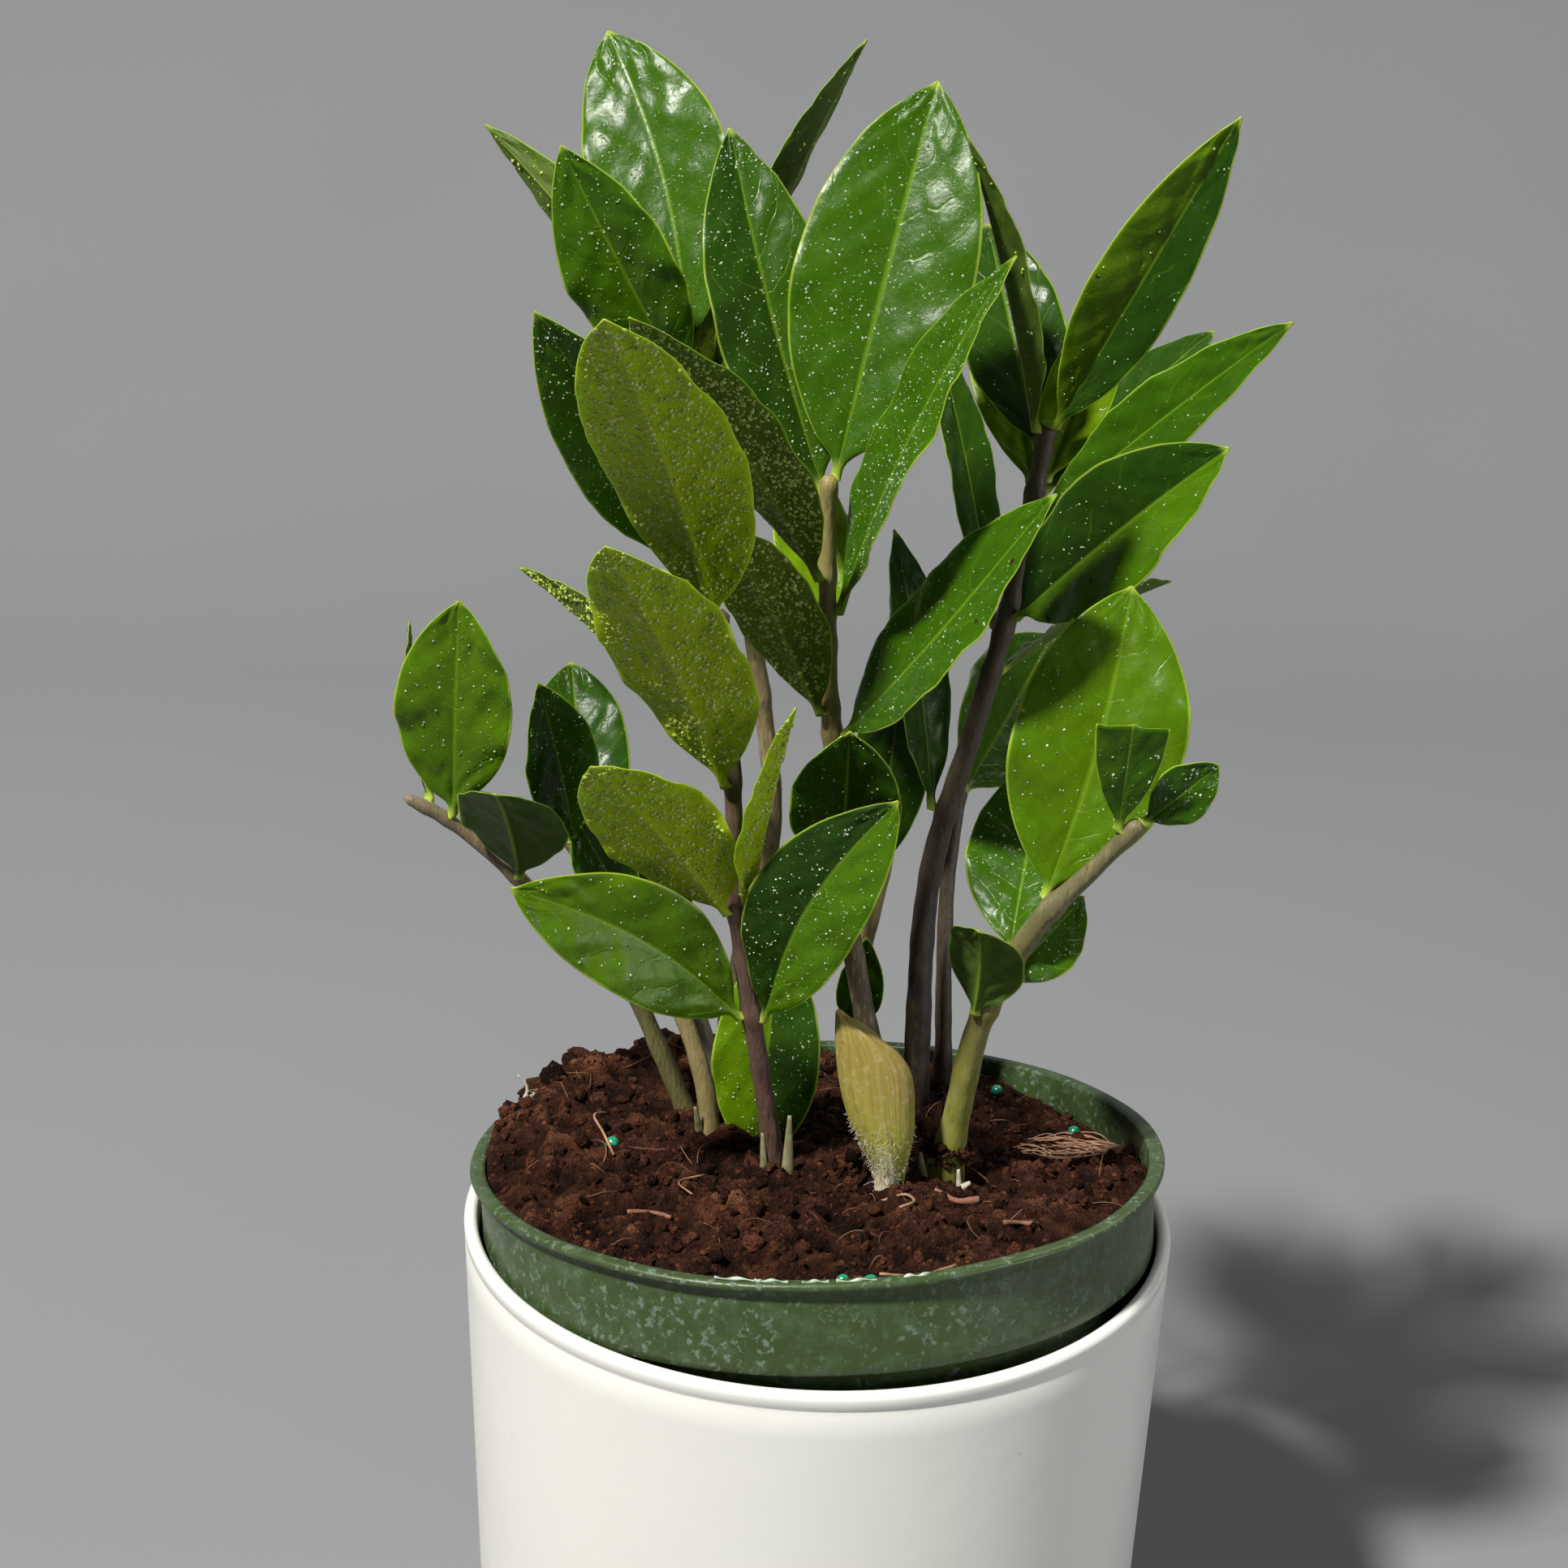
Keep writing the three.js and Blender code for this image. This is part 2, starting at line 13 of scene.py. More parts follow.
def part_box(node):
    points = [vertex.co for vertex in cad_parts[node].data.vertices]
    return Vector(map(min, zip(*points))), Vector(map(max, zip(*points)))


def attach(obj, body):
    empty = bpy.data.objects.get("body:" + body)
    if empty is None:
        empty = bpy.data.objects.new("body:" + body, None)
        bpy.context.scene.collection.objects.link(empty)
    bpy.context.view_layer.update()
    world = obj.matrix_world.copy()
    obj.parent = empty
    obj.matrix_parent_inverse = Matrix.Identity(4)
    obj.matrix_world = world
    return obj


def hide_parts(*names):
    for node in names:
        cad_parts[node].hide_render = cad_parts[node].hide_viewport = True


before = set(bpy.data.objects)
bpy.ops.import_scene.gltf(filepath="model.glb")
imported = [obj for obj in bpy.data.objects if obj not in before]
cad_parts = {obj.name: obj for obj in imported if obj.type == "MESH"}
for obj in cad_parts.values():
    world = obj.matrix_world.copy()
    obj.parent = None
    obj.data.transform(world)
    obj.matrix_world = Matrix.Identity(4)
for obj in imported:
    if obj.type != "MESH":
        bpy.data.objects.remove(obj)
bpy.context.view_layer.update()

MM = 0.001
BODY = "root"
rng = np.random.default_rng(7)


# ---- Sizes shared with the CAD part --------------------------------------------------------

CACHEPOT_HEIGHT = 138
CACHEPOT_WALL = 3
CACHEPOT_FLOOR = 5
CACHEPOT_TAPER = 0.03
CACHEPOT_FOOT_ROUND = 2.5
CACHEPOT_RADIUS = float(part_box("cachepot")[1].x) / MM
LIP_BAND = 3.6  # height of the slightly prouder band around the cachepot's mouth

RIM_RADIUS = 76
NURSERY_WALL = 1.2
NURSERY_FLOOR = 1.6
LIP_HEIGHT = 1.8
LIP_OVERHANG = 2.2
COLLAR_HEIGHT = 20
COLLAR_STEP = 2.2
BASE_RADIUS = 52
TILT_FRONT = math.radians(6.5)
TILT_SIDE = math.radians(2.8)
RIM_RISE = 13
DRAIN_HOLES = 6
DRAIN_RADIUS = 4.5
DRAIN_CIRCLE = 38
FIT_GAP = 0.3  # left between pieces that would touch

COLLAR_RADIUS = RIM_RADIUS - LIP_OVERHANG
BODY_RADIUS = COLLAR_RADIUS - COLLAR_STEP
SOIL_RADIUS = COLLAR_RADIUS - NURSERY_WALL - FIT_GAP
RIM_HEIGHT = CACHEPOT_HEIGHT + RIM_RISE

TILT = np.array(Matrix.Rotation(-TILT_SIDE, 3, "Y") @ Matrix.Rotation(-TILT_FRONT, 3, "X"))
TILT_AXIS = TILT[:, 2]
RIM_CENTRE = np.array([*(TILT_AXIS[:2] * RIM_RISE / TILT_AXIS[2]), RIM_HEIGHT])
NURSERY_HEIGHT = (
    RIM_HEIGHT - CACHEPOT_FLOOR - FIT_GAP - BASE_RADIUS * math.hypot(*TILT_AXIS[:2])
) / TILT_AXIS[2]

# Each stem: the radius at its foot and at its end, and its route up from the soil, measured from the
# middle of the nursery pot's rim, as in the CAD part.
STEMS = {
    "centre": (3.1, 1.5, [(15, 31, 0), (10.5, 28, 15), (6, 26, 37), (2, 20, 60), (0, 14, 86),
                          (-2, 8, 111), (-3, 2, 149)]),
    "front": (2.4, 1.4, [(-9, -13, 0), (-14, -16, 32), (-18, -19, 58), (-20, -22, 92), (-23, -25, 127)]),
    "back_left": (2.6, 1.6, [(-23, 28, 2), (-22, 28, 17), (-18, 27, 41), (-13, 25, 66), (-16, 22, 96),
                             (-22, 18, 130), (-32, 15, 170)]),
    "right": (3.3, 1.7, [(22, 38, 0), (23, 39, 50), (31, 38, 86), (37, 36, 113), (41, 34, 140),
                         (43, 33, 156)]),
    "right_back": (2.2, 1.6, [(29, 50, 0), (28, 50, 23), (28, 53, 46), (30, 57, 66)]),
    "low_right": (4.3, 1.5, [(27, -11, 0), (29, -13, 16), (33, -17, 41), (43, -22, 64), (52, -25, 76),
                             (61, -28, 88)]),
    "low_left": (2.5, 1.1, [(-29, 11, -1), (-36, 10, 17), (-45, 9, 36), (-67, 5, 59), (-82, 2, 73),
                            (-90, 0, 78)]),
    "left": (2.4, 1.4, [(-24, 3, 0), (-26, 3, 14), (-31, 4, 29), (-38, 6, 42), (-49, 8, 55),
                        (-57, 9, 68)]),
    "left_back": (2.4, 1.8, [(-22, 19, 2), (-29, 23, 21), (-36, 27, 38)]),
    "back": (2.3, 1.5, [(7, 50, 2), (8, 50, 21), (11, 50, 38), (15, 50, 60)]),
}
ROOTED_DEPTH = 12
STALK_WIDTH = 2.4
# The side veins, for a leaf's relief and its colour alike.
VEINS = 8
VEIN_SLANT = 0.2
VEIN_CURVE = 1.3

# A leaf's skin: its tone, from deep shaded to lit yellow green, partly the leaf's own colour and partly
# painted light and shade;
# fine dew on its upper side and beads on its underside, in drops per square centimetre; dark specks; and how
# much painted shade darkens one of its halves and painted light brightens the other.
LOOKS = {
    "wet": (0.6, 46, 20, 0, 0.0),
    "wet_deep": (0.25, 46, 20, 0, 0.35),
    "wet_bright": (0.7, 26, 8, 0, -0.1),
    "yellowing": (0.78, 14, 8, 0, -0.12),
    "beaded": (0.95, 20, 116, 0, 0.0),
    "pale": (0.84, 14, 8, 0, 0.0),
    "half_lit": (0.5, 30, 8, 0, -0.8),
    "misted": (0.3, 14, 110, 0, 0.2),
    "plain": (0.5, 6, 8, 0, -0.1),
    "deep": (0.1, 6, 8, 0, 0.0),
    "deep_beaded": (0.12, 20, 60, 0, 0.0),
    "dry": (0.05, 0, 0, 0, 0.0),
    "young": (1.0, 4, 4, 0, 0.0),
    "specked": (0.55, 22, 6, 1, -0.1),
    # The next three looks, like half_lit above, paint shade over one half of a blade and light over the
    # other.
    "halved": (0.4, 8, 6, 1, 0.8),
    "turned": (0.45, 8, 6, 1, -0.9),
    "shaded": (0.4, 30, 8, 0, 0.8),
}
# Leaves with an outline fuller than most (0): 1 is blunt.
FULLNESS = {
    ("front", 1): 0.8, ("front", 2): 0.6, ("front", 3): 0.7, ("front", 6): 0.4, ("front", 4): 0.3,
    ("centre", 1): 0.45, ("centre", 7): 1.0, ("centre", 4): 0.4, ("centre", 6): 0.5, ("right", 7): 0.3,
    ("right", 10): 0.5, ("back_left", 1): 0.5, ("low_left", 1): 0.35, ("low_left", 2): 0.9,
    ("low_right", 1): 0.45, ("low_right", 5): 0.9, ("left", 2): 0.7, ("back_left", 8): 0.5,
}

# Each leaf: stem; where along it; heading and rise of the tip; length and width; the heading its upper
# side looks to; bend, fold, and sideways sway; then its look. They follow the CAD part, but for ten that
# are turned, narrowed or shortened so that the right leaf covers its neighbour.
LEAVES = [
    ("centre", 0.99, 51, 70, 82.5, 37, -98, 12, 12, 0, "wet"),
    ("centre", 0.97, 130, 64, 78, 27, -72, 14, 14, -2, "wet_deep"),
    ("centre", 0.81, -44, 61, 87, 27, -160, 16, 14, 0, "wet"),
    ("centre", 0.86, -128, 45, 81, 23, 60, 20, 12, 0, "misted"),
    ("centre", 0.62, -43, 49, 80, 25, -150, 14, 14, 4, "specked"),
    ("centre", 0.66, -128, 53, 58, 20, 75, 18, 14, 0, "misted"),
    ("centre", 0.42, -89, 55, 46, 24, -90, 20, 14, 0, "deep_beaded"),
    ("centre", 0.76, 102, 42, 48, 18, -80, 10, 14, 0, "young"),
    ("front", 0.99, -112, 53, 78, 30, 70, 14, 10, 0, "beaded"),
    ("front", 0.72, -123, 55, 67, 30, 70, 14, 14, 0, "beaded"),
    ("front", 0.5, -140, 48, 50, 27, 80, 12, 10, 0, "beaded"),
    ("front", 0.31, -155, 35, 60, 24, -88, 16, 12, 4, "pale"),
    ("front", 0.49, -61, 70, 53, 14, 165, 8, 30, 0, "beaded"),
    ("front", 0.3, -38, 60, 64, 24, -98, 18, 12, -4, "shaded"),
    ("front", 0.75, 135, 22, 72, 20, -20, 10, 34, 0, "misted"),
    ("back_left", 1.0, 122, 58, 74, 31, -103, 10, 12, 4, "wet"),
    ("back_left", 0.97, -160, 61, 54, 24, -115, 12, 12, 0, "wet_bright"),
    ("back_left", 0.9, 144, 54, 66, 22, -165, 12, 20, 0, "yellowing"),
    ("back_left", 0.95, 139, 38, 83, 16, 70, 20, 20, 0, "deep"),
    ("back_left", 0.82, 88, 72, 61, 24, 120, 10, 14, 0, "beaded"),
    ("back_left", 0.73, -135, 48, 78, 27, -110, 14, 14, 0, "wet"),
    ("back_left", 0.96, 46, 58, 81, 15, 150, 12, 20, 0, "deep"),
    ("back_left", 0.56, 135, 18, 52, 24, 70, 12, 12, 0, "young"),
    ("right", 1.0, -50, 56, 79, 20, -95, 8, 26, 0, "turned"),
    ("right", 0.99, -136, 67, 66, 14, 20, 8, 30, 0, "deep"),
    ("right", 0.96, 106, 47, 60, 24, -90, 10, 14, 0, "deep"),
    ("right", 0.91, 103, 45, 56, 18, -90, 10, 14, 0, "young"),
    ("right", 0.9, 42, 31, 62, 20, -130, 10, 18, 0, "deep"),
    ("right", 0.87, -41, 40, 75, 17, -130, 10, 16, 0, "plain"),
    ("right", 0.73, -48, 40, 71, 28, -120, 12, 18, 0, "halved"),
    ("right", 0.64, 44, 12, 60, 16, -160, 12, 20, 0, "deep"),
    ("right", 0.7, 115, 59, 75, 14, -50, 10, 14, 0, "deep"),
    ("right", 0.42, -178, 80, 65, 16, -50, 12, 14, 0, "deep"),
    ("right_back", 0.98, 66, 25, 62, 30, -70, 10, 12, 0, "plain"),
    ("low_right", 0.73, 48, 70, 65, 35, -95, 12, 10, 2, "pale"),
    ("low_right", 0.57, 77, 38, 50, 26, -110, 12, 12, 0, "wet"),
    ("low_right", 0.96, -84, 76, 48, 14, -90, 0, 8, 0, "plain"),
    ("low_right", 1.0, 10, 40, 18, 12, -60, 8, 10, 0, "wet_deep"),
    ("low_right", 0.44, -94, 60, 27, 18, 60, 30, 20, 0, "dry"),
    ("low_left", 0.9, -67, 80, 49, 25, -95, 8, 10, 0, "pale"),
    ("low_left", 0.71, -93, 47, 36, 24, 80, 20, 14, 0, "dry"),
    ("low_left", 0.95, 108, 50, 42, 12, 170, 8, 20, 0, "deep"),
    ("left", 0.98, -103, 62, 46, 18, -60, 12, 14, 0, "wet_deep"),
    ("left", 0.9, 103, 46, 49, 22, -80, 12, 12, 0, "deep_beaded"),
    ("back", 0.77, -57, 82, 62, 18, -90, 10, 14, 0, "deep"),
]
CUT_LEAVES = {("low_right", 3): 0.5}  # the leaf that was cut across, and the share of it that is left
BURIED_LEAF = ((-13.5, 0.5, -7), (72, 80, 55, 24, -95, 8, 12, 0), "half_lit")

# The new shoot's sheath, from the soil up: height, middle across, width, depth, and how much the section
# slopes down to the right.
SHOOT = [
    (-9, 15, 6, 5.5, 0), (0, 15, 6.2, 5.5, 0), (6, 15, 6.8, 6, 0), (11, 14.2, 10, 8, 0),
    (17, 12.9, 13.8, 10, 0.05),
    (23, 11.8, 15.8, 10.5, 0.12), (28.5, 11.1, 16.6, 10.2, 0.28), (33, 10.4, 16, 9, 0.46),
    (36.6, 9, 13.4, 7, 0.58), (39.4, 6.6, 8.4, 4.8, 0.66), (40.6, 4, 3, 2.4, 0.7),
]
SHOOT_PLACE = -21

# Further leaves, mostly behind others, which have no CAD piece.
MORE_LEAVES = [
    ("left", 0.7, 176, 60, 25, 13, -90, 12, 12, 0, "deep_beaded"),
    ("left_back", 0.98, -122, 64, 27, 16, -80, 10, 12, 0, "deep"),
    ("right", 0.92, 12, 72, 42, 15, -100, 10, 14, 0, "young"),
    ("low_right", 0.5, 48, 25, 29, 16, -80, 12, 10, 0, "wet"),
    ("back", 0.1, -84, 62, 34, 11, -90, 14, 12, 0, "deep"),
]


# ---- Mesh helpers --------------------------------------------------------------------------


def place_object(name, data):
    made = bpy.data.objects.new(name, data)
    bpy.context.scene.collection.objects.link(made)
    return made


def add_mesh(name, points, faces, material, replaces=(), vectors=None, smooth=True):
    """A piece from points in millimetres; vectors are per-point attributes that its material reads."""
    mesh = bpy.data.meshes.new(name)
    mesh.from_pydata((np.asarray(points, float) * MM).tolist(), [], [list(f) for f in faces])
    for key, values in (vectors or {}).items():
        attribute = mesh.attributes.new(key, "FLOAT_VECTOR", "POINT")
        attribute.data.foreach_set("vector", np.asarray(values, np.float32).ravel())
    mesh.polygons.foreach_set("use_smooth", [smooth] * len(mesh.polygons))
    mesh.materials.append(material)
    piece = place_object(name, mesh)
    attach(piece, BODY)
    if replaces:
        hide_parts(*replaces)
    return piece


def ring_faces(rings, sides, closed_ends=True):
    """Faces of a skin through rings of points, each ring with the same number of sides."""
    faces = []
    for i in range(rings - 1):
        a = i * sides
        for k in range(sides):
            n = (k + 1) % sides
            faces.append((a + k, a + n, a + sides + n, a + sides + k))
    if closed_ends:
        faces.append(tuple(reversed(range(sides))))
        faces.append(tuple(range((rings - 1) * sides, rings * sides)))
    return faces


def lathe(profile, sides):
    """Points and faces of a profile of (radius, height) turned about Z; it starts and ends on the axis."""
    turns = circle(sides)
    middle = np.array(profile[1:-1], float)
    rings = [
        np.stack([r * np.cos(turns), r * np.sin(turns), np.full(sides, z)], 1) for r, z in middle
    ]
    points = np.concatenate([*rings, [[0, 0, profile[0][1]], [0, 0, profile[-1][1]]]])
    faces = ring_faces(len(rings), sides, closed_ends=False)
    low, high = len(points) - 2, len(points) - 1
    last = (len(rings) - 1) * sides
    for k in range(sides):
        n = (k + 1) % sides
        faces.append((low, n, k))
        faces.append((high, last + k, last + n))
    return points, faces


def circle(steps):
    """Evenly spaced angles right round."""
    return np.linspace(0, 2 * math.pi, steps, endpoint=False)


def arc(centre_r, centre_z, radius, start, end, steps):
    angles = np.radians(np.linspace(start, end, steps + 1))
    return [(centre_r + radius * math.cos(a), centre_z + radius * math.sin(a)) for a in angles]


def smoothstep(low, high, x):
    t = np.clip((np.asarray(x, float) - low) / (high - low), 0, 1)
    return t * t * (3 - 2 * t)


def unit(v):
    return v / np.linalg.norm(v, axis=-1, keepdims=True)


def fractal(points, size, octaves=4, offset=0.0):
    """Fractal noise at points in millimetres, with its largest lumps about size across."""
    shift = Vector((offset, 2.3 * offset, -1.7 * offset))
    return np.array(
        [noise.fractal(Vector(p) / size + shift, 0.9, 2.1, octaves) for p in points]
    )


def cells(points, size, offset=0.0):
    """Distance to the nearest of scattered centres about size apart, in shares of size."""
    shift = Vector((offset, -offset, 3.1 * offset))
    return np.array([noise.voronoi(Vector(p) / size + shift)[0][0] for p in points])


class Curve:
    """A centripetal Catmull-Rom curve through points, measured along its length."""

    STEPS = 40

    def __init__(self, route):
        p = [np.array(q, float) for q in route]
        p = [2 * p[0] - p[1], *p, 2 * p[-1] - p[-2]]
        points = []
        for p0, p1, p2, p3 in zip(p, p[1:], p[2:], p[3:]):
            d0, d1, d2 = (np.linalg.norm(b - a) ** 0.5 for a, b in ((p0, p1), (p1, p2), (p2, p3)))
            m1 = ((p1 - p0) / d0 - (p2 - p0) / (d0 + d1) + (p2 - p1) / d1) * d1
            m2 = ((p2 - p1) / d1 - (p3 - p1) / (d1 + d2) + (p3 - p2) / d2) * d1
            for t in np.arange(self.STEPS) / self.STEPS:
                points.append(
                    p1 + m1 * t + (3 * (p2 - p1) - 2 * m1 - m2) * t**2 + (2 * (p1 - p2) + m1 + m2) * t**3
                )
        points.append(p[-2])
        self.points = np.array(points)
        lengths = np.linalg.norm(np.diff(self.points, axis=0), axis=1)
        self.run = np.concatenate([[0], np.cumsum(lengths)])
        self.length = self.run[-1]

    def at(self, share):
        return np.array([np.interp(share * self.length, self.run, self.points[:, k]) for k in range(3)])

    def tangent(self, share):
        step = 0.002
        return unit(self.at(min(1, share + step)) - self.at(max(0, share - step)))


CURVES = {name: Curve(route) for name, (_, _, route) in STEMS.items()}
LIFT = np.array([0, 0, RIM_HEIGHT], float)


# ---- Materials -----------------------------------------------------------------------------


class Shader:
    """A Principled material, with short ways to add the nodes that feed it."""

    def __init__(self, name, **constants):
        self.material = bpy.data.materials.new(name)
        self.material.use_nodes = True
        self.tree = self.material.node_tree
        self.bsdf = self.tree.nodes["Principled BSDF"]
        for socket, value in constants.items():
            self.bsdf.inputs[socket.replace("_", " ")].default_value = value
        self.place = self.add("ShaderNodeTexCoord").outputs["Object"]

    def add(self, kind, inputs=None, **settings):
        node = self.tree.nodes.new(kind)
        for key, value in settings.items():
            setattr(node, key, value)
        for key, value in (inputs or {}).items():
            if isinstance(value, bpy.types.NodeSocket):
                self.tree.links.new(value, node.inputs[key])
            else:
                node.inputs[key].default_value = value
        return node

    def feed(self, socket, value):
        self.tree.links.new(value, self.bsdf.inputs[socket])

    def math(self, operation, a, b=0.0, clamp=False):
        return self.add("ShaderNodeMath", {0: a, 1: b}, operation=operation, use_clamp=clamp).outputs[0]

    def remap(self, value, low, high, to_low=0.0, to_high=1.0):
        inputs = {"Value": value, "From Min": low, "From Max": high, "To Min": to_low, "To Max": to_high}
        return self.add("ShaderNodeMapRange", inputs, interpolation_type="SMOOTHSTEP").outputs[0]

    def noise(self, scale, detail=4.0, roughness=0.55, vector=None):
        inputs = {"Vector": vector or self.place, "Scale": scale, "Detail": detail, "Roughness": roughness}
        return self.add("ShaderNodeTexNoise", inputs).outputs["Fac"]

    def cells(self, scale, vector=None):
        inputs = {"Vector": vector or self.place, "Scale": scale}
        return self.add("ShaderNodeTexVoronoi", inputs).outputs["Distance"]

    def ramp(self, factor, stops):
        node = self.add("ShaderNodeValToRGB", {"Fac": factor})
        elements = node.color_ramp.elements
        while len(elements) < len(stops):
            elements.new(0.5)
        for element, (place, colour) in zip(elements, stops):
            element.position = place
            element.color = (*colour, 1)
        return node.outputs["Color"]

    def mix(self, factor, a, b):
        node = self.add("ShaderNodeMix", {0: factor}, data_type="RGBA")
        for index, value in ((6, a), (7, b)):
            if isinstance(value, bpy.types.NodeSocket):
                self.tree.links.new(value, node.inputs[index])
            else:
                node.inputs[index].default_value = (*value, 1)
        return node.outputs[2]

    def tint(self, colour, other, mask, share):
        """Mixes in up to this share of another colour, where the mask is 1."""
        return self.mix(self.math("MULTIPLY", mask, share), colour, other)

    def dots(self, scale, inner, outer, vector=None):
        """Soft dots: 1 inside the inner radius and 0 beyond the outer one, in shares of their spacing."""
        return self.remap(self.cells(scale, vector), inner, outer, 1.0, 0.0)

    def roughness(self, scale, detail, low, high):
        self.feed("Roughness", self.remap(self.noise(scale, detail), 0.3, 0.7, low, high))

    def bump(self, height, distance):
        inputs = {"Height": height, "Distance": distance}
        self.feed("Normal", self.add("ShaderNodeBump", inputs).outputs["Normal"])

    def read(self, attribute):
        """The three numbers of a per-point attribute."""
        source = self.add("ShaderNodeAttribute", attribute_name=attribute).outputs["Vector"]
        return self.add("ShaderNodeSeparateXYZ", {0: source}).outputs[:]


def leaf_material():
    """Waxy leaf skin: attribute leaf holds (along, across, upper side), and kind (tone, half shade, specks),
    where tone and half shade are partly painted light and shade.
    """
    s = Shader("leaf_skin", IOR=1.45, Subsurface_Weight=0.45, Subsurface_Scale=0.001,
               Specular_IOR_Level=0.16)
    s.bsdf.inputs["Subsurface Radius"].default_value = (0.7, 1.0, 0.02)
    along, across, upper = s.read("leaf")
    tone_and_shade, half_shade, specks = s.read("kind")
    off_middle = s.math("ABSOLUTE", across)
    # One half of the blade darker by painted shade and the other lighter by painted light.
    side = s.math("SUBTRACT", s.remap(across, -0.04, 0.04, 0.0, 2.0), 1.0)
    tone_and_shade = s.math("ADD", tone_and_shade, s.math("MULTIPLY", side, s.math("MULTIPLY", half_shade, 0.5)), clamp=True)

    # Side veins leave the midrib at a slant and curve towards the tip.
    slant = s.math("MULTIPLY", s.math("POWER", off_middle, VEIN_CURVE), VEIN_SLANT)
    vein_run = s.math("MULTIPLY", s.math("SUBTRACT", along, slant), VEINS)
    wobble = s.math("MULTIPLY", s.noise(70, 3), 1.6)
    vein_wave = s.math("PINGPONG", s.math("ADD", vein_run, wobble), 0.5)
    vein = s.math("MULTIPLY", s.remap(vein_wave, 0.0, 0.07, 1.0, 0.0), s.remap(s.noise(110, 2), 0.4, 0.65))
    midrib = s.remap(off_middle, 0.012, 0.05, 1.0, 0.0)
    margin = s.remap(off_middle, 0.965, 0.992)
    tip = s.remap(along, 0.965, 0.998)
    base = s.remap(along, 0.0, 0.06, 1.0, 0.0)

    patches = s.noise(95, 4)
    mottle = s.remap(s.noise(420, 4, 0.65), 0.3, 0.72)
    grain = s.noise(1500, 2)
    # Lit and shaded greens mixed by the tone: painted light and shade along with the leaf's own colour.
    lit = s.mix(patches, (0.027, 0.082, 0.0008), (0.056, 0.138, 0.0012))
    deep = s.mix(patches, (0.008, 0.027, 0.002), (0.018, 0.05, 0.003))
    top = s.mix(tone_and_shade, deep, lit)
    top = s.tint(top, (0.11, 0.19, 0.0015), s.remap(tone_and_shade, 0.72, 1.0), 0.75)
    top = s.tint(top, s.mix(0.6, top, (0.0, 0.02, 0.0)), mottle, 0.3)
    top = s.tint(top, (0.12, 0.22, 0.01), vein, 0.16)
    top = s.tint(top, (0.15, 0.26, 0.012), midrib, 0.4)

    # The underside, painted lighter at high tones to stand for direct light on it.
    below = s.mix(patches, (0.026, 0.052, 0.01), (0.045, 0.085, 0.014))
    lit_below = s.mix(patches, (0.22, 0.31, 0.001), (0.32, 0.42, 0.002))
    below = s.mix(tone_and_shade, below, lit_below)
    below = s.tint(below, (0.02, 0.045, 0.008), s.remap(grain, 0.35, 0.7), 0.25)
    below = s.tint(below, (0.24, 0.32, 0.03), midrib, 0.45)
    below = s.tint(below, (0.2, 0.27, 0.03), vein, 0.15)

    colour = s.mix(upper, below, top)
    edge = s.math("MAXIMUM", s.math("MULTIPLY", margin, 0.6), s.math("MAXIMUM", tip, base))
    colour = s.tint(colour, (0.32, 0.42, 0.05), edge, 0.75)
    dots = s.dots(130, 0.07, 0.12)
    colour = s.mix(s.math("MULTIPLY", dots, specks), colour, (0.02, 0.012, 0.005))
    s.feed("Base Color", colour)

    waxy = s.remap(s.noise(240, 3), 0.3, 0.75, 0.27, 0.38)
    dull = s.remap(grain, 0.3, 0.7, 0.5, 0.62)
    inputs = {"Value": upper, "To Min": dull, "To Max": waxy}
    s.feed("Roughness", s.add("ShaderNodeMapRange", inputs).outputs[0])
    height = s.math("ADD", s.math("MULTIPLY", s.noise(600, 4), 0.8), s.math("MULTIPLY", vein, -0.4))
    s.bump(height, 0.00016)
    return s.material


def stem_material(name, low, high, streak):
    """Plant skin from low at the foot to high at the top, with streaks and freckles along the stem."""
    s = Shader("stem_skin_" + name, IOR=1.45)
    along, _, _ = s.read("stem")
    stretched = s.add(
        "ShaderNodeMapping", {"Vector": s.place, "Scale": (1.0, 1.0, 0.22)}
    ).outputs["Vector"]
    colour = s.mix(s.remap(along, 0.1, 0.8), low, high)
    colour = s.tint(colour, streak, s.remap(s.noise(900, 4, vector=stretched), 0.45, 0.75), 0.55)
    freckles = s.dots(900, 0.12, 0.3, stretched)
    dark = tuple(0.35 * c for c in low)
    colour = s.tint(colour, dark, freckles, 0.5)
    colour = s.mix(s.remap(s.noise(120, 3), 0.55, 0.8, 0.0, 0.5), colour, dark)
    s.feed("Base Color", colour)
    s.roughness(1200, 2, 0.42, 0.65)
    s.bump(s.noise(1400, 4, vector=stretched), 0.00025)
    return s.material


def soil_material(name):
    """Moist peat and coir: attribute soil holds (relief, warmth, 0); the relief paints shade in the hollows
    and light on the raised clods.
    """
    s = Shader(name, IOR=1.35, Specular_IOR_Level=0.1)
    relief_shade, warmth, _ = s.read("soil")
    fine = s.noise(1300, 6, 0.75)
    # Darker in the hollows and lighter on the raised clods: painted shade and painted light from the relief.
    colour = s.ramp(s.math("ADD", s.math("MULTIPLY", fine, 0.6), s.math("MULTIPLY", relief_shade, 0.5)), [
        (0.2, (0.002, 0.001, 0.0007)),
        (0.42, (0.01, 0.0042, 0.0026)),
        (0.62, (0.046, 0.0172, 0.0098)),
        (0.9, (0.27, 0.113, 0.061)),
    ])
    colour = s.tint(colour, (0.13, 0.046, 0.023), warmth, 0.6)
    # Orange bits, shown only on the raised clods where painted light falls.
    orange = s.dots(330, 0.12, 0.22)
    colour = s.tint(colour, (0.25, 0.075, 0.03), s.math("MULTIPLY", orange, relief_shade), 0.8)
    s.feed("Base Color", colour)
    s.roughness(300, 3, 0.7, 0.95)
    s.bump(s.math("ADD", s.noise(1500, 6, 0.8), s.cells(1700)), 0.0009)
    return s.material


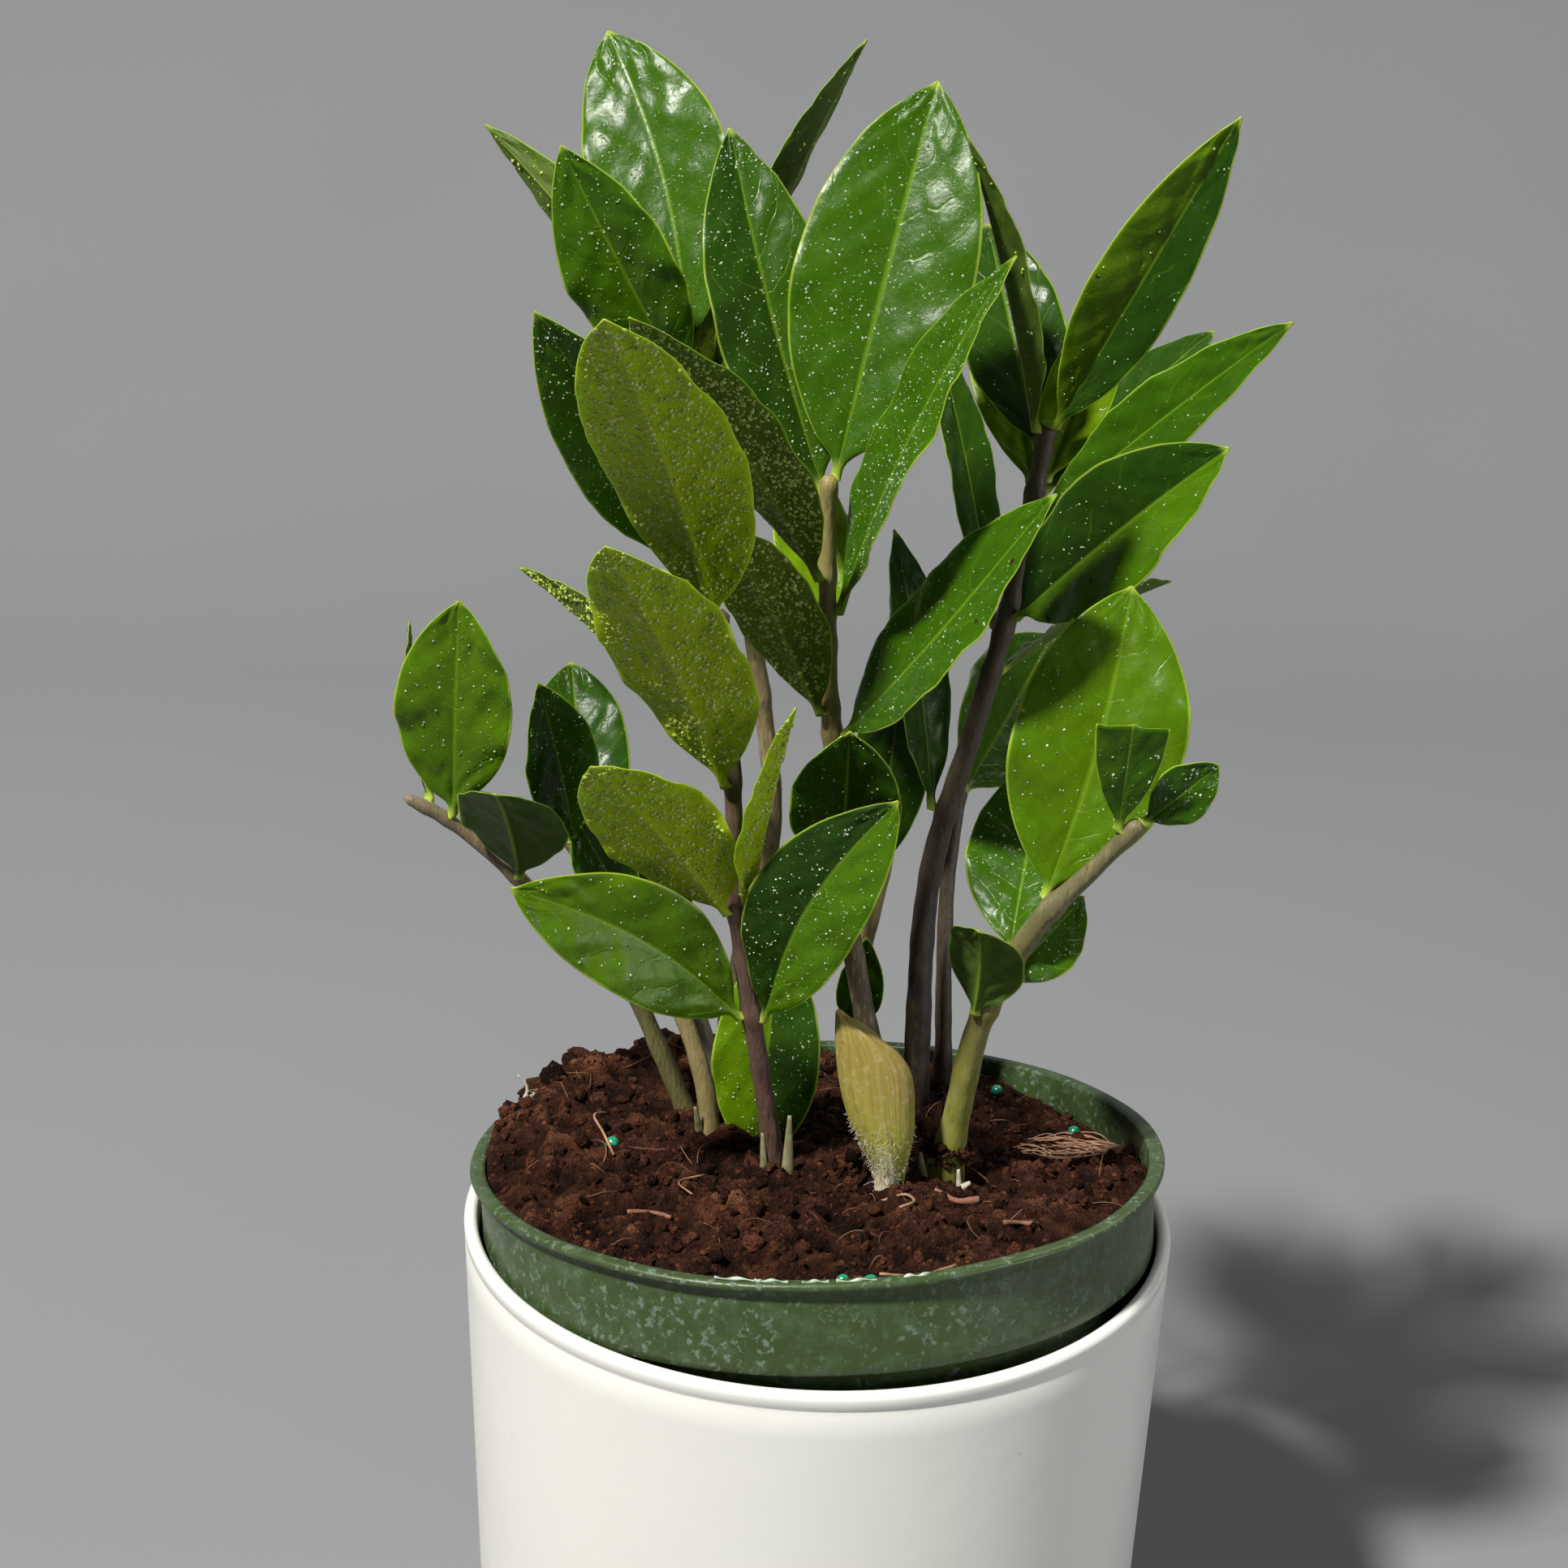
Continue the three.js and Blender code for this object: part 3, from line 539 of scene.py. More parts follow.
def nursery_material():
    """Dark green moulded plastic under pale dried water marks."""
    s = Shader("nursery_plastic", IOR=1.46, Specular_IOR_Level=0.4)
    colour = s.mix(s.noise(40, 3), (0.022, 0.04, 0.01), (0.036, 0.06, 0.016))
    push = s.add("ShaderNodeTexNoise", {"Vector": s.place, "Scale": 620.0, "Detail": 3.0}).outputs["Color"]
    push = s.add("ShaderNodeVectorMath", {0: push, 1: (0.004, 0.004, 0.004)}, operation="MULTIPLY").outputs[0]
    warped = s.add("ShaderNodeVectorMath", {0: s.place, 1: push}, operation="ADD").outputs[0]
    spots = s.dots(480, 0.16, 0.44, warped)
    small = s.dots(1000, 0.14, 0.4, warped)
    patchy = s.remap(s.noise(75, 5, 0.65), 0.36, 0.58)
    small = s.math("MULTIPLY", small, s.remap(s.noise(140, 3), 0.5, 0.7, 0.0, 0.8))
    marks = s.math("MAXIMUM", s.math("MULTIPLY", spots, patchy), small)
    haze = s.math("MULTIPLY", s.remap(s.noise(210, 5, 0.65), 0.42, 0.7), 0.3)
    colour = s.mix(haze, colour, (0.085, 0.13, 0.085))
    colour = s.tint(colour, (0.16, 0.21, 0.18), marks, 0.5)
    s.feed("Base Color", colour)
    s.feed("Roughness", s.remap(marks, 0.0, 1.0, 0.4, 0.8))
    s.bump(s.math("ADD", s.math("MULTIPLY", marks, 0.6), s.noise(900, 3)), 0.00008)
    return s.material


def cachepot_material():
    """Warm white satin glaze with a few pinholes."""
    s = Shader("cachepot_glaze", IOR=1.5, Coat_Weight=0.3, Coat_Roughness=0.25)
    colour = s.mix(s.noise(9, 3), (0.58, 0.583, 0.55), (0.63, 0.63, 0.597))
    colour = s.tint(colour, (0.54, 0.535, 0.49), s.remap(s.noise(60, 4), 0.5, 0.8), 0.12)
    pinholes = s.dots(55, 0.012, 0.02)
    colour = s.tint(colour, (0.3, 0.29, 0.26), pinholes, 0.6)
    s.feed("Base Color", colour)
    s.roughness(120, 3, 0.36, 0.46)
    s.bump(s.noise(70, 3), 0.00012)
    return s.material


def sheath_material(name, green):
    """Dry papery sheath: attribute sheath holds (along, around, fuzz)."""
    s = Shader(name, IOR=1.4, Subsurface_Weight=0.15, Subsurface_Scale=0.001)
    along, around, fuzz = s.read("sheath")
    inputs = {0: s.math("MULTIPLY", around, 46.0), 1: s.math("MULTIPLY", along, 3.5)}
    lines = s.add("ShaderNodeCombineXYZ", inputs).outputs[0]
    streaks = s.noise(1.0, 4, 0.6, vector=lines)
    colour = s.mix(s.remap(streaks, 0.35, 0.7), (0.2, 0.153, 0.025), (0.275, 0.215, 0.058))
    colour = s.mix(s.remap(along, 0.25, 0.75, 0.75, 0.0), colour, green)
    colour = s.mix(s.remap(streaks, 0.55, 0.75, 0.0, 0.45), colour, (0.16, 0.12, 0.04))
    colour = s.mix(s.remap(s.noise(700, 4), 0.5, 0.8, 0.0, 0.5), colour, (0.46, 0.38, 0.22))
    colour = s.mix(fuzz, colour, (0.62, 0.57, 0.47))
    s.feed("Base Color", colour)
    s.feed("Roughness", s.remap(streaks, 0.3, 0.7, 0.55, 0.8))
    s.bump(streaks, 0.0004)
    return s.material


def tinted_material(name, dark, light, scale, roughness, **constants):
    """A simple noisy material for small pieces."""
    s = Shader(name, **constants)
    s.feed("Base Color", s.ramp(s.noise(scale, 3), [(0.3, dark), (0.7, light)]))
    s.roughness(2 * scale, 2, *roughness)
    s.bump(s.noise(3 * scale, 3), 0.0001)
    return s.material


def water_material(name, leaf_seen_through, bright, clear):
    """Small round drops, partly clear, with the green of the leaf seen through them and their glints painted
    into their colour.
    """
    s = Shader(name, IOR=1.33, Transmission_Weight=clear, Coat_Weight=1.0, Coat_Roughness=0.08)
    s.feed("Base Color", s.mix(s.remap(s.noise(500, 2), 0.35, 0.65), leaf_seen_through, bright))
    s.roughness(500, 1, 0.05, 0.14)
    return s.material


# ---- Pots ----------------------------------------------------------------------------------


def to_rim(points):
    """From the nursery pot's own frame, measured from the middle of its rim, to the row frame."""
    return np.asarray(points) @ TILT.T + RIM_CENTRE


def build_cachepot():
    mouth = CACHEPOT_RADIUS - CACHEPOT_WALL
    foot = CACHEPOT_RADIUS - CACHEPOT_TAPER * CACHEPOT_HEIGHT
    floor = mouth - CACHEPOT_TAPER * (CACHEPOT_HEIGHT - CACHEPOT_FLOOR)
    lip = CACHEPOT_WALL / 2
    side = [
        (CACHEPOT_RADIUS - CACHEPOT_TAPER * (CACHEPOT_HEIGHT - z), z)
        for z in np.linspace(12, CACHEPOT_HEIGHT - LIP_BAND - 1.4, 24)
    ]
    profile = [
        (0, 1.2), (foot - 9, 1.2), (foot - 8, 0.9), (foot - 7, 0.2), (foot - 6, 0), (foot - 4, 0),
        *arc(foot - CACHEPOT_FOOT_ROUND, CACHEPOT_FOOT_ROUND, CACHEPOT_FOOT_ROUND, -85, 0, 6),
        *side,
        (CACHEPOT_RADIUS - 0.5, CACHEPOT_HEIGHT - LIP_BAND - 0.5),
        (CACHEPOT_RADIUS - 0.42, CACHEPOT_HEIGHT - LIP_BAND),
        (CACHEPOT_RADIUS - 0.1, CACHEPOT_HEIGHT - LIP_BAND + 0.6),
        *arc(mouth + lip, CACHEPOT_HEIGHT - lip, lip, 0, 180, 12),
        (mouth - 0.3, CACHEPOT_HEIGHT - 8),
        *arc(floor - 4, CACHEPOT_FLOOR + 4, 4, 0, -90, 6),
        (floor - 20, CACHEPOT_FLOOR), (0, CACHEPOT_FLOOR),
    ]
    points, faces = lathe(profile, 192)
    add_mesh("cachepot_glazed", points, faces, cachepot_material(), ["cachepot"])


def build_nursery_pot():
    lip = LIP_HEIGHT / 2
    body = [
        (BASE_RADIUS + (BODY_RADIUS - BASE_RADIUS) * t,
         -NURSERY_HEIGHT + (NURSERY_HEIGHT - COLLAR_HEIGHT) * t)
        for t in np.linspace(0.03, 0.985, 14)
    ]
    collar = [(COLLAR_RADIUS, z) for z in np.linspace(-COLLAR_HEIGHT + 0.5, -LIP_HEIGHT - 0.4, 9)]
    inner_collar = COLLAR_RADIUS - NURSERY_WALL
    inner_floor = -NURSERY_HEIGHT + NURSERY_FLOOR
    ledge = -COLLAR_HEIGHT + NURSERY_WALL
    profile = [
        (0, -NURSERY_HEIGHT), (BASE_RADIUS - 3, -NURSERY_HEIGHT),
        *arc(BASE_RADIUS - 1.5, -NURSERY_HEIGHT + 1.5, 1.5, -80, -5, 4),
        *body,
        (BODY_RADIUS + 0.4, -COLLAR_HEIGHT - 0.1), (COLLAR_RADIUS - 0.5, -COLLAR_HEIGHT),
        *collar,
        (COLLAR_RADIUS + 0.35, -LIP_HEIGHT - 0.05),
        *arc(RIM_RADIUS - lip, -lip, lip, -75, 90, 8),
        (inner_collar + 1.0, -0.02), (inner_collar + 0.25, -0.25),
        (inner_collar, -0.9), (inner_collar, -COLLAR_HEIGHT / 2),
        (inner_collar, ledge), (BODY_RADIUS - NURSERY_WALL, ledge),
        (BASE_RADIUS - NURSERY_WALL, inner_floor), (BASE_RADIUS - 12, inner_floor), (0, inner_floor),
    ]
    points, faces = lathe(profile, 192)
    turn = np.arctan2(points[:, 1], points[:, 0])
    near_lip = smoothstep(-12, 0, points[:, 2])
    points[:, 2] += near_lip * (0.16 * np.sin(5 * turn + 1) + 0.1 * np.sin(11 * turn))
    pot = add_mesh("nursery_pot_moulded", to_rim(points), faces, nursery_material(),
                   ["nursery_pot"])
    drill_drain_holes(pot)


def drill_drain_holes(pot):
    """Cuts the round holes in the base, with cutters that are removed again."""
    mesh = bmesh.new()
    for i in range(DRAIN_HOLES):
        turn = 2 * math.pi * i / DRAIN_HOLES
        centre = to_rim([[DRAIN_CIRCLE * math.cos(turn), DRAIN_CIRCLE * math.sin(turn), -NURSERY_HEIGHT]])[0]
        place = Matrix.Translation(Vector(centre * MM)) @ Matrix(TILT.tolist()).to_4x4()
        bmesh.ops.create_cone(mesh, cap_ends=True, segments=32, radius1=DRAIN_RADIUS * MM,
                              radius2=DRAIN_RADIUS * MM, depth=8 * MM, matrix=place)
    cutter_mesh = bpy.data.meshes.new("drain_cutter")
    mesh.to_mesh(cutter_mesh)
    mesh.free()
    cutter = place_object("drain_cutter", cutter_mesh)
    cut = pot.modifiers.new("drain", "BOOLEAN")
    cut.operation = "DIFFERENCE"
    cut.object = cutter
    bpy.context.view_layer.update()
    done = bpy.data.meshes.new_from_object(pot.evaluated_get(bpy.context.evaluated_depsgraph_get()))
    pot.modifiers.clear()
    pot.data = done
    bpy.data.objects.remove(cutter)


# ---- Soil ----------------------------------------------------------------------------------

SOIL_GRID = 250
SOIL_DROP = 2.2  # from the rim down to the smooth surface
CRUMBS = 2000
FIBRES = 95
COIR_STRANDS = 60
ROOT_WISPS = 70
FUZZ_STRANDS = 700


def soil_level(x, y):
    """Height of the smooth surface, below or above the rim, at a place in the pot's own frame."""
    u, v = x / SOIL_RADIUS, y / SOIL_RADIUS

    def swell(at_u, at_v, spread):
        return np.exp(-((u - at_u) ** 2 + (v - at_v) ** 2) / (2 * spread**2))

    reach = np.clip(u * u + v * v, 0, 1)
    heap = 10.5 * swell(-0.66, 0.6, 0.42) + 3.5 * swell(-0.1, -0.05, 0.4) + 3.5 * swell(-0.9, 0.05, 0.3)
    return (
        -SOIL_DROP
        + (1 - 0.35 * reach**5) * heap
        - 6.8 * swell(0.75, 0.38, 0.27)
        - 1.5 * swell(0.5, -0.2, 0.2)
        - 1.8 * reach**8 * (1 - swell(-0.7, 0.4, 0.5))
    )


def crack_depth(x, y):
    """The long crack on the right, as a depth."""
    along = (x - 52) / 17
    across = (y - (2 + 3 * along)) / 1.5
    return 6 * np.exp(-(across**2)) * np.clip(1 - along**2, 0, 1)


def build_soil():
    """The root ball: a lumpy top on walls that follow the pot. Returns the points of its top inside the wall.
    """
    t = np.linspace(-1, 1, SOIL_GRID)
    a, b = np.meshgrid(t, t, indexing="ij")
    a, b = a.ravel(), b.ravel()
    wide = np.abs(a) > np.abs(b)
    safe = np.where(wide, a, np.where(b == 0, 1, b))
    turn = np.where(wide, math.pi / 4 * b / safe, math.pi / 2 - math.pi / 4 * a / safe)
    radius = np.where(wide, a, b) * SOIL_RADIUS
    x, y = radius * np.cos(turn), radius * np.sin(turn)
    flat = np.stack([x, y, np.zeros_like(x)], 1)
    inside = np.clip(1.02 - np.abs(radius) / SOIL_RADIUS, 0, 0.12) / 0.12

    flat[:, :2] += 1.6 * np.stack([fractal(flat, 6, 3, 31.0), fractal(flat, 6, 3, 37.0)], 1)
    lumps = 2.7 * fractal(flat, 13, 4, 1.0)
    clods = 3.2 * (0.6 - cells(flat, 6.5, 2.0)) * smoothstep(-0.5, 0.5, fractal(flat, 20, 2, 6.0))
    crumbs = 2.0 * (0.5 - cells(flat, 2.9, 5.0)) + 1.0 * (0.5 - cells(flat, 1.5, 9.0))
    grit = 0.5 * fractal(flat, 1.2, 3, 4.0)
    rough = lumps + clods + crumbs + grit
    height = soil_level(x, y) + (0.35 + 0.65 * inside) * rough - crack_depth(x, y)
    sway_x = 0.9 * inside * fractal(flat, 3.5, 2, 11.0)
    sway_y = 0.9 * inside * fractal(flat, 3.5, 2, 17.0)
    top = np.stack([x + sway_x, y + sway_y, height], 1)
    reach = np.hypot(top[:, 0], top[:, 1])
    top[:, :2] *= np.minimum(1, SOIL_RADIUS / np.maximum(reach, 1e-6))[:, None]

    index = np.arange(SOIL_GRID**2).reshape(SOIL_GRID, SOIL_GRID)
    quads = np.stack([index[:-1, :-1], index[1:, :-1], index[1:, 1:], index[:-1, 1:]], -1)
    faces = quads.reshape(-1, 4).tolist()
    rim = np.concatenate([index[:-1, 0], index[-1, :-1], index[:0:-1, -1], index[0, :0:-1]])
    points = [top]
    count = len(top)
    previous = rim
    ledge = -COLLAR_HEIGHT + NURSERY_WALL + FIT_GAP
    floor = -NURSERY_HEIGHT + NURSERY_FLOOR + FIT_GAP
    walls = [(SOIL_RADIUS, ledge), (BODY_RADIUS - NURSERY_WALL - FIT_GAP, ledge),
             (BASE_RADIUS - NURSERY_WALL - FIT_GAP, floor)]
    angle = np.arctan2(top[rim, 1], top[rim, 0])
    for r, z in walls:
        points.append(np.stack([r * np.cos(angle), r * np.sin(angle), np.full(len(rim), z)], 1))
        ring = np.arange(count, count + len(rim))
        count += len(rim)
        for k in range(len(rim)):
            n = (k + 1) % len(rim)
            faces.append([previous[n], previous[k], ring[k], ring[n]])
        previous = ring
    faces.append(previous)
    points = np.concatenate(points)
    relief_shade = np.zeros((len(points), 3))
    # The relief of clods and crumbs, which the material turns into painted shade in the hollows and painted
    # light on top.
    relief_shade[: len(top), 0] = np.clip(0.42 + 0.24 * (clods + crumbs + 0.4 * lumps), 0, 1)
    relief_shade[: len(top), 1] = np.clip(fractal(flat, 7, 4, 21.0) * 1.6 - 0.35, 0, 1)
    faces = [[int(i) for i in face] for face in faces]
    add_mesh("soil_ball", to_rim(points), faces, soil_material("peat"),
             ["soil"], {"soil": relief_shade})
    keep = np.hypot(x, y) < SOIL_RADIUS - 1.5
    return to_rim(top[keep])


def icosphere(subdivisions):
    ball = bmesh.new()
    bmesh.ops.create_icosphere(ball, subdivisions=subdivisions, radius=1)
    points = np.array([v.co for v in ball.verts])
    faces = np.array([[v.index for v in f.verts] for f in ball.faces])
    ball.free()
    return points, faces


def scatter(name, shapes, faces, material, vectors=None):
    """One mesh of many copies: shapes is a list of point arrays that share the same faces."""
    starts = range(0, len(shapes) * len(shapes[0]), len(shapes[0]))
    faces = [[int(i) for i in face] for face in faces]
    all_faces = [[start + i for i in face] for start in starts for face in faces]
    return add_mesh(name, np.concatenate(shapes), all_faces, material, vectors=vectors)


def random_turn():
    axis = unit(rng.normal(size=3))
    return np.array(Matrix.Rotation(rng.uniform(0, 2 * math.pi), 3, Vector(axis)))


def build_crumbs(ground):
    """Loose crumbs of peat, from grit to clods, half sunk in the surface; some cling to a stem's foot."""
    ball, faces = icosphere(2)
    shapes, marks = [], []
    places = [(ground[rng.integers(len(ground))], 0.3 + 1.5 * rng.random() ** 3.5) for _ in range(CRUMBS)]
    foot = CURVES["low_right"].at(0.07) + LIFT
    for turn in rng.uniform(0, 2 * math.pi, 60):
        out = rng.uniform(3.2, 5.0)
        places.append((foot + [out * math.cos(turn), out * math.sin(turn), rng.uniform(-2.5, 2.5)],
                       rng.uniform(0.5, 1.2)))
    for _ in range(90):
        out = rng.normal(size=2) * [2.6, 2.2]
        lift = max(0, 8 - 1.7 * math.hypot(*out)) * rng.random()
        spot = ground_at(ground, 7 + out[0], -18 + out[1])
        places.append((spot + [0, 0, lift], rng.uniform(0.5, 1.4)))
    for x, y, count in ((-69, 14, 10), (-66, 24, 12), (-58, 38, 12), (-42, 53, 14), (-26, 62, 10)):
        for _ in range(count):
            spot = ground_at(ground, *(np.array([x, y]) + rng.normal(size=2) * 3))
            places.append((spot, rng.uniform(1.0, 2.6)))
    for place, size in places:
        bumps, fine = (
            np.array([noise.noise(Vector(p * rate) + Vector(place)) for p in ball]) for rate in (1.3, 3.1)
        )
        shape = ball * (1 + 0.65 * bumps + 0.35 * fine)[:, None] * rng.uniform(0.45, 1.25, 3)
        shapes.append(shape @ random_turn().T * size + place + [0, 0, size * rng.uniform(-0.2, 0.5)])
        marks.append(np.tile([rng.uniform(0.15, 0.75), rng.random() ** 3, 0], (len(ball), 1)))
    scatter("soil_crumbs", shapes, faces, soil_material("peat_crumbs"),
            {"soil": np.concatenate(marks)})


def tube_points(path, radii, sides):
    """Rings of a thin tube along a path."""
    path = np.asarray(path, float)
    tangents = unit(np.gradient(path, axis=0))
    helper = np.array([0.31, 0.22, 0.92])
    side = unit(np.cross(tangents, helper))
    up = np.cross(side, tangents)
    turns = circle(sides)
    radii = np.broadcast_to(radii, len(path))
    ring = side[:, None] * np.cos(turns)[None, :, None] + up[:, None] * np.sin(turns)[None, :, None]
    return (path[:, None] + ring * radii[:, None, None]).reshape(-1, 3)


def build_fibres(ground):
    """Thin roots and coir fibres that lie over the surface."""
    straw = tinted_material("fibre", (0.05, 0.02, 0.01), (0.2, 0.1, 0.048), 160, (0.6, 0.8))
    sides, steps = 6, 12
    shapes = []
    for _ in range(FIBRES):
        start = ground[rng.integers(len(ground))]
        heading = rng.uniform(0, 2 * math.pi)
        length = rng.uniform(3, 14)
        curl = rng.uniform(-2.2, 2.2)
        t = np.linspace(0, 1, steps)
        turn = heading + curl * t
        path = start + np.stack([
            np.cumsum(np.cos(turn)) * length / steps,
            np.cumsum(np.sin(turn)) * length / steps,
            rng.uniform(0.3, 2.2) * np.sin(math.pi * t) + rng.uniform(-0.6, 0.8) * t,
        ], 1)
        shapes.append(tube_points(path, rng.uniform(0.05, 0.14) * (1 - 0.6 * t**3), sides))
    rings = ring_faces(steps, sides, closed_ends=False)
    scatter("root_fibres", shapes, rings, straw)


def ground_at(ground, x, y):
    """The point of the soil's surface nearest to a place in the row frame."""
    return ground[np.argmin(np.hypot(ground[:, 0] - x, ground[:, 1] - y))]


def build_prills(ground):
    """Beads of slow-release fertiliser on the soil, two of them in front against the lip."""
    ball, faces = icosphere(3)
    glaze = tinted_material("prill", (0.0, 0.12, 0.055), (0.004, 0.24, 0.12), 500,
                            (0.2, 0.4), Coat_Weight=0.5, Coat_Roughness=0.1)
    places = [(5.6, -69), (11, -68.7), (-66, 15), (-45, -8), (42, 50), (59, 27)]
    shapes = []
    for x, y in places:
        size = rng.uniform(1.25, 1.5)
        dimple = 1 + 0.05 * np.array([noise.noise(Vector(p * 2 + x)) for p in ball])
        shapes.append(ball * dimple[:, None] * size + ground_at(ground, x, y) + [0, 0, 0.8])
    scatter("fertiliser_prills", shapes, faces, glaze)


def laid(ground, stops, lift, bow=0.0, steps=14):
    """A smooth path over the soil through places in the row frame, bowed up in its middle."""
    points = [ground_at(ground, x, y) + [0, 0, lift] for x, y in stops]
    path = np.array([Curve(points).at(t) for t in np.linspace(0, 1, steps)])
    path[:, 2] += bow * np.sin(math.pi * np.linspace(0, 1, steps))
    return path


def build_litter(ground):
    """The single pieces that stand out on the soil: long fibres, a twig, a coir bundle and a root tip."""
    sides, steps = 8, 14
    rings = ring_faces(steps, sides)
    fibre = tinted_material("long_fibre", (0.12, 0.05, 0.026), (0.32, 0.18, 0.1), 300, (0.6, 0.8))
    strands = [
        tube_points(laid(ground, [(-48.4, 10), (-50, 2), (-47, -6), (-44, -13)], 0.8, 1.0), 0.3, sides),
        tube_points(laid(ground, [(13, -30), (18, -31), (20, -35), (17, -39)], 0.6, 0.5), 0.3, sides),
        tube_points(laid(ground, [(12.5, -67), (20, -66.5), (28, -65)], 2.4), 0.32, sides),
        tube_points(laid(ground, [(-24, -22), (-29, -27), (-26, -33)], 0.8), 0.22, sides),
        tube_points(laid(ground, [(-8, 40), (-14, 46), (-22, 50)], 1.0, 1.5), 0.22, sides),
    ]
    for _ in range(COIR_STRANDS):
        start = np.array([54, 20]) + rng.normal(size=2) * [4, 3.5]
        end = start + np.array([16, -6]) * rng.uniform(0.5, 1.0) + rng.normal(size=2) * 1.5
        middle = (start + end) / 2 + rng.normal(size=2)
        path = laid(ground, [start, middle, end], rng.uniform(0.2, 1.4), rng.uniform(-0.3, 1.2))
        strands.append(tube_points(path, rng.uniform(0.09, 0.2), sides))
    scatter("coir_fibres", strands, rings, fibre)

    bark = tinted_material("bark", (0.09, 0.03, 0.018), (0.22, 0.09, 0.05), 500, (0.7, 0.9))
    thick = 0.75 + 0.12 * np.sin(np.linspace(0, 9, steps))
    twigs = [
        tube_points(laid(ground, [(24.4, -24), (29, -25.6), (33.7, -26.5)], 0.7), thick, sides),
        tube_points(laid(ground, [(38, -40), (42, -38), (45, -39)], 0.6), thick * 0.7, sides),
        tube_points(laid(ground, [(-30, -40), (-34, -37), (-39, -38)], 0.5), thick * 0.6, sides),
    ]
    scatter("bark_twigs", twigs, rings, bark)

    # The pale root tip with its wisps, on the left, and a small bud by the swollen stem.
    pale = tinted_material("root_tip", (0.22, 0.2, 0.15), (0.5, 0.47, 0.38), 300, (0.5, 0.7))
    foot = ground_at(ground, -68, 20)
    bud = ground_at(ground, 30, -16)
    taper = np.linspace(1, 0.25, steps)
    t = np.linspace(0, 1, steps)[:, None]
    tips = [
        tube_points(foot + t * [-1.5, 0, 6] + np.sin(math.pi * t) * [1.4, 0, 0], 0.55 * taper, sides),
        tube_points(bud + t * [-0.4, 0, 4.4] + [0, 0, -0.6], 0.7 * np.sqrt(taper), sides),
        tube_points(bud + t * [1.6, -0.6, 1.6] + [0.6, -0.4, -0.3], 0.9 * np.sqrt(taper), sides),
    ]
    for _ in range(ROOT_WISPS):
        reach = rng.normal(size=3) * [2.6, 2.0, 0.8]
        curl = rng.normal(size=3) * 0.8
        wisp = foot + [3, 0, 0.8] + reach * (t - 0.5) + curl * np.sin(math.pi * t)
        tips.append(tube_points(wisp, 0.05, sides))
    scatter("root_tips", tips, rings, pale)


def build_slivers():
    """Dry papery scales at the feet of stems, and bits of torn film on the lip."""
    paper = tinted_material("paper_scale", (0.08, 0.085, 0.03), (0.24, 0.22, 0.12), 260, (0.5, 0.7))
    film = tinted_material("torn_film", (0.12, 0.2, 0.13), (0.42, 0.48, 0.4), 200, (0.3, 0.5))
    sides, steps = 12, 16
    t = np.linspace(0, 1, steps)
    turns = circle(sides)

    def sliver(foot, tip, width, curl):
        path = foot + t[:, None] * (np.array(tip, float) - foot) + np.outer(np.sin(2.2 * t), [0, -curl, 0])
        half = width / 2 * np.clip(1.15 - t, 0.04, 1) ** 0.7
        ring = np.stack([np.cos(turns), 0.16 * np.sin(turns) + 0.3 * np.cos(turns) ** 2, 0 * turns], 1)
        return (path[:, None] + ring[None] * half[:, None, None]).reshape(-1, 3) + LIFT

    scales = [
        sliver(np.array([-11.3, -16, -2.5]), (-12.2, -15.5, 11), 2.2, 0.4),
        sliver(np.array([-6.6, -16, -3.5]), (-6.5, -16.5, 16), 3.0, 0.8),
        sliver(np.array([23, -14.5, -2]), (21.5, -15.5, 8), 2.6, 0.5),
        sliver(np.array([-26, 2, -1]), (-27.5, 0, 9), 2.4, 0.5),
    ]
    scatter("paper_scales", scales, ring_faces(steps, sides), paper)
    pieces = []
    for start, run in ((-104, 7), (-98, 5), (-91, 4), (-86, 6), (-76, 4)):
        turn = np.radians(start + run * t)
        lift = 0.25 + 0.3 * np.sin(9 * t + start)
        path = to_rim(np.stack([74.6 * np.cos(turn), 74.6 * np.sin(turn), 0 * t + lift * 0.5], 1))
        pieces.append(tube_points(path, 0.28 + 0.16 * np.sin(11 * t + start), sides))
    scatter("torn_film_bits", pieces, ring_faces(steps, sides), film)


# ---- Stems ---------------------------------------------------------------------------------

# The colour at the foot, the colour at the top, and the streaks; then how much the foot swells.
STEM_LOOKS = {
    "centre": ((0.05, 0.038, 0.02), (0.2, 0.165, 0.055), (0.3, 0.25, 0.11), 0.6),
    "front": ((0.075, 0.04, 0.03), (0.09, 0.06, 0.035), (0.16, 0.1, 0.07), 0.4),
    "back_left": ((0.1, 0.08, 0.04), (0.22, 0.17, 0.08), (0.42, 0.34, 0.18), 0.3),
    "right": ((0.024, 0.016, 0.01), (0.05, 0.037, 0.018), (0.05, 0.038, 0.02), 0.3),
    "right_back": ((0.035, 0.024, 0.016), (0.055, 0.04, 0.022), (0.09, 0.066, 0.042), 0.2),
    "low_right": ((0.16, 0.16, 0.025), (0.1, 0.088, 0.038), (0.2, 0.175, 0.085), 1.4),
    "low_left": ((0.1, 0.09, 0.03), (0.13, 0.1, 0.06), (0.2, 0.17, 0.07), 0.3),
    "left": ((0.19, 0.15, 0.06), (0.15, 0.12, 0.05), (0.28, 0.23, 0.1), 0.3),
    "left_back": ((0.12, 0.1, 0.06), (0.15, 0.12, 0.08), (0.22, 0.19, 0.12), 0.2),
    "back": ((0.14, 0.11, 0.05), (0.22, 0.18, 0.07), (0.3, 0.25, 0.12), 0.2),
}
STEM_SIDES = 20
STEM_STEP = 1.3


def stem_radius(name, share):
    """Tapers evenly, but slims faster above a swollen foot."""
    foot, end, _ = STEMS[name]
    slimming = STEM_LOOKS[name][3] * (1 - math.exp(-12 * share)) * (1 - share) ** 2
    return foot + (end - foot) * share - slimming


